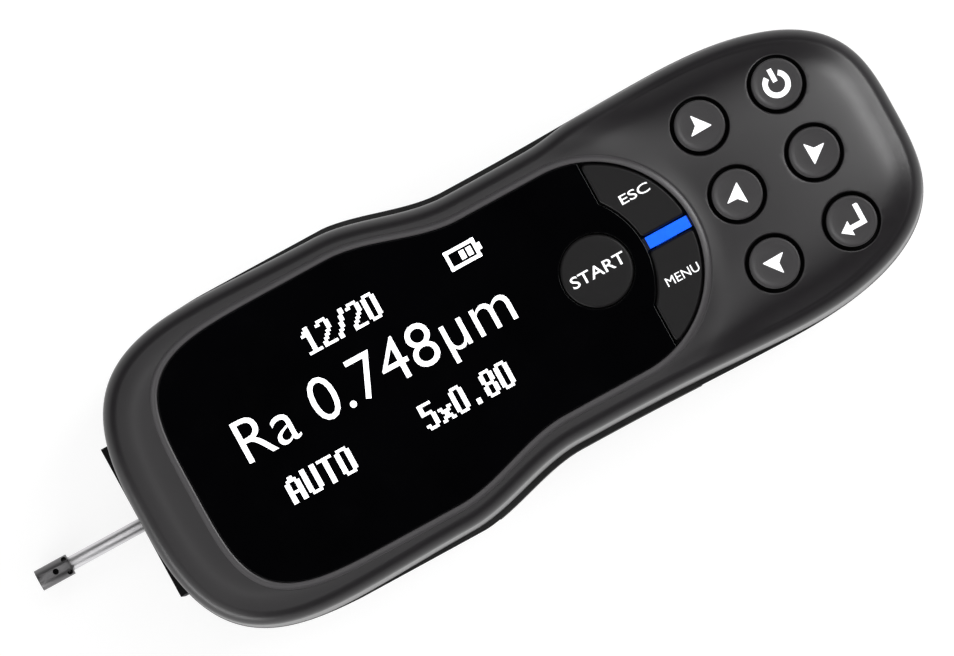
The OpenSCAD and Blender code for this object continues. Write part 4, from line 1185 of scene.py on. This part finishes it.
# Soft boxes: azimuth, tilt, width, depth and power
lamps = (
    ("tail_light", 9, 41, 0.5, 0.28, 4.6),
    ("front_light", 205, 56, 0.7, 0.5, 1.3),
    ("edge_light", 210, 82, 1.0, 0.2, 4.0),
    ("crest_light", 0, 20.5, 0.55, 0.33, 0.85),
    ("left_light", 90, 20.5, 0.55, 0.33, 0.9),
    ("nose_light", 180, 20.5, 0.55, 0.33, 0.9),
    ("right_light", 270, 20.5, 0.55, 0.33, 0.75),
)


def larger(tree, a, b):
    return add_node(tree, "Math", {0: a, 1: b}, operation="MAXIMUM").outputs[0]


def seen_directly(tree):
    """A factor that is 1 for rays that show the background itself."""
    path = add_node(tree, "LightPath").outputs
    seen = larger(tree, path["Is Camera Ray"], path["Is Glossy Ray"])
    return larger(tree, seen, path["Is Transmission Ray"])


def floor():
    material = bpy.data.materials.new("floor_white")
    material.use_nodes = True
    tree = material.node_tree
    tree.nodes.clear()
    tone = (floor_tone, floor_tone, floor_tone, 1)
    level = add_node(tree, "Math", {0: seen_directly(tree), 1: floor_shine}, operation="MULTIPLY")
    matte = add_node(tree, "BsdfDiffuse", {"Color": tone})
    shine = add_node(tree, "Emission", {"Color": (1, 1, 1, 1), "Strength": level.outputs[0]})
    both = add_node(tree, "AddShader", {0: matte.outputs[0], 1: shine.outputs[0]})
    add_node(tree, "OutputMaterial", {"Surface": both.outputs[0]})
    mesh = bpy.data.meshes.new("floor")
    corners = [(x * floor_half, y * floor_half, 0) for x, y in ((-1, -1), (1, -1), (1, 1), (-1, 1))]
    mesh.from_pydata(corners, [], [(0, 1, 2, 3)])
    mesh.materials.append(material)
    ground = add_object("floor", mesh)


def sky():
    """White at the horizon where it is seen, falling to a dim ceiling, with plain fill light."""
    world = bpy.data.worlds.new("studio")
    world.use_nodes = True
    tree = world.node_tree
    tree.nodes.clear()
    place = add_node(tree, "TexCoord").outputs["Generated"]
    height = add_node(tree, "SeparateXYZ", {0: place}).outputs["Z"]
    span = {"Value": height, "From Min": sky_low, "From Max": sky_high, "To Min": 1.0, "To Max": ceiling}
    ramp = add_node(tree, "MapRange", span).outputs["Result"]
    seen = larger(tree, ramp, add_node(tree, "LightPath").outputs["Is Camera Ray"])
    choose = add_node(tree, "Mix", {0: seen_directly(tree), 2: fill, 3: seen}, data_type="FLOAT")
    back = add_node(tree, "Background", {"Strength": choose.outputs[0]})
    add_node(tree, "OutputWorld", {"Surface": back.outputs[0]})
    bpy.context.scene.world = world


def softbox(name, azimuth, tilt, wide, deep, power):
    """A soft box seen from the object at an azimuth, tilted this far from straight above."""
    a, t = math.radians(azimuth), math.radians(tilt)
    out = Vector((math.sin(t) * math.cos(a), math.sin(t) * math.sin(a), math.cos(t)))
    across = Vector((-math.sin(a), math.cos(a), 0))
    lamp = bpy.data.lights.new(name, "AREA")
    lamp.shape, lamp.size, lamp.size_y, lamp.energy = "RECTANGLE", wide, deep, power
    holder = add_object(name, lamp)
    holder.visible_camera = False
    turn = Matrix((across, out.cross(across), out)).transposed().to_4x4()
    holder.matrix_world = Matrix.Translation(aim + out * lamp_far) @ turn


def camera():
    """From above with a slight lean, the long axis rising to the upper right."""
    image_w, pixels_per_mm, far = 954, 6.18, 1800
    axis_turn, lean = math.radians(28.65), math.radians(1.2)
    sight = np.array([3.24, 1.35, 40])
    data = bpy.data.cameras.new("camera")
    data.sensor_width = 36
    data.lens = data.sensor_width * far / (image_w / pixels_per_mm)
    data.clip_end = 20
    holder = add_object("camera", data)
    back = Vector((0, -math.sin(lean), math.cos(lean)))
    right = Vector((math.cos(axis_turn), -math.sin(axis_turn), 0))
    right = (right - back * right.dot(back)).normalized()
    turn = Matrix((right, back.cross(right), back)).transposed().to_4x4()
    holder.matrix_world = Matrix.Translation(Vector(sight * MM) + back * far * MM) @ turn
    bpy.context.scene.camera = holder


# Build

case_top()
case_bottom()
seam_bead()
window_frame()
grip_pad("left_pad", "left_grip", 1)
grip_pad("right_pad", "right_grip", -1)
feet()
screws("plate_cross_screws", "plate_screws", 0, plate_head_h)
screws("case_cross_screws", "case_screws", 2, case_head_h)
window()
for key in round_keys:
    round_cap(key)
start_cap()
corner_cap("escape_key", 1)
corner_cap("menu_key", -1)
icon_marks()
label_marks()
screen()
for finish, carried in finishes:
    for node in carried.split():
        dress(node, finish)
tip_screws()
floor()
sky()
for lamp in lamps:
    softbox(*lamp)
camera()
bpy.context.scene.view_settings.view_transform = "Standard"
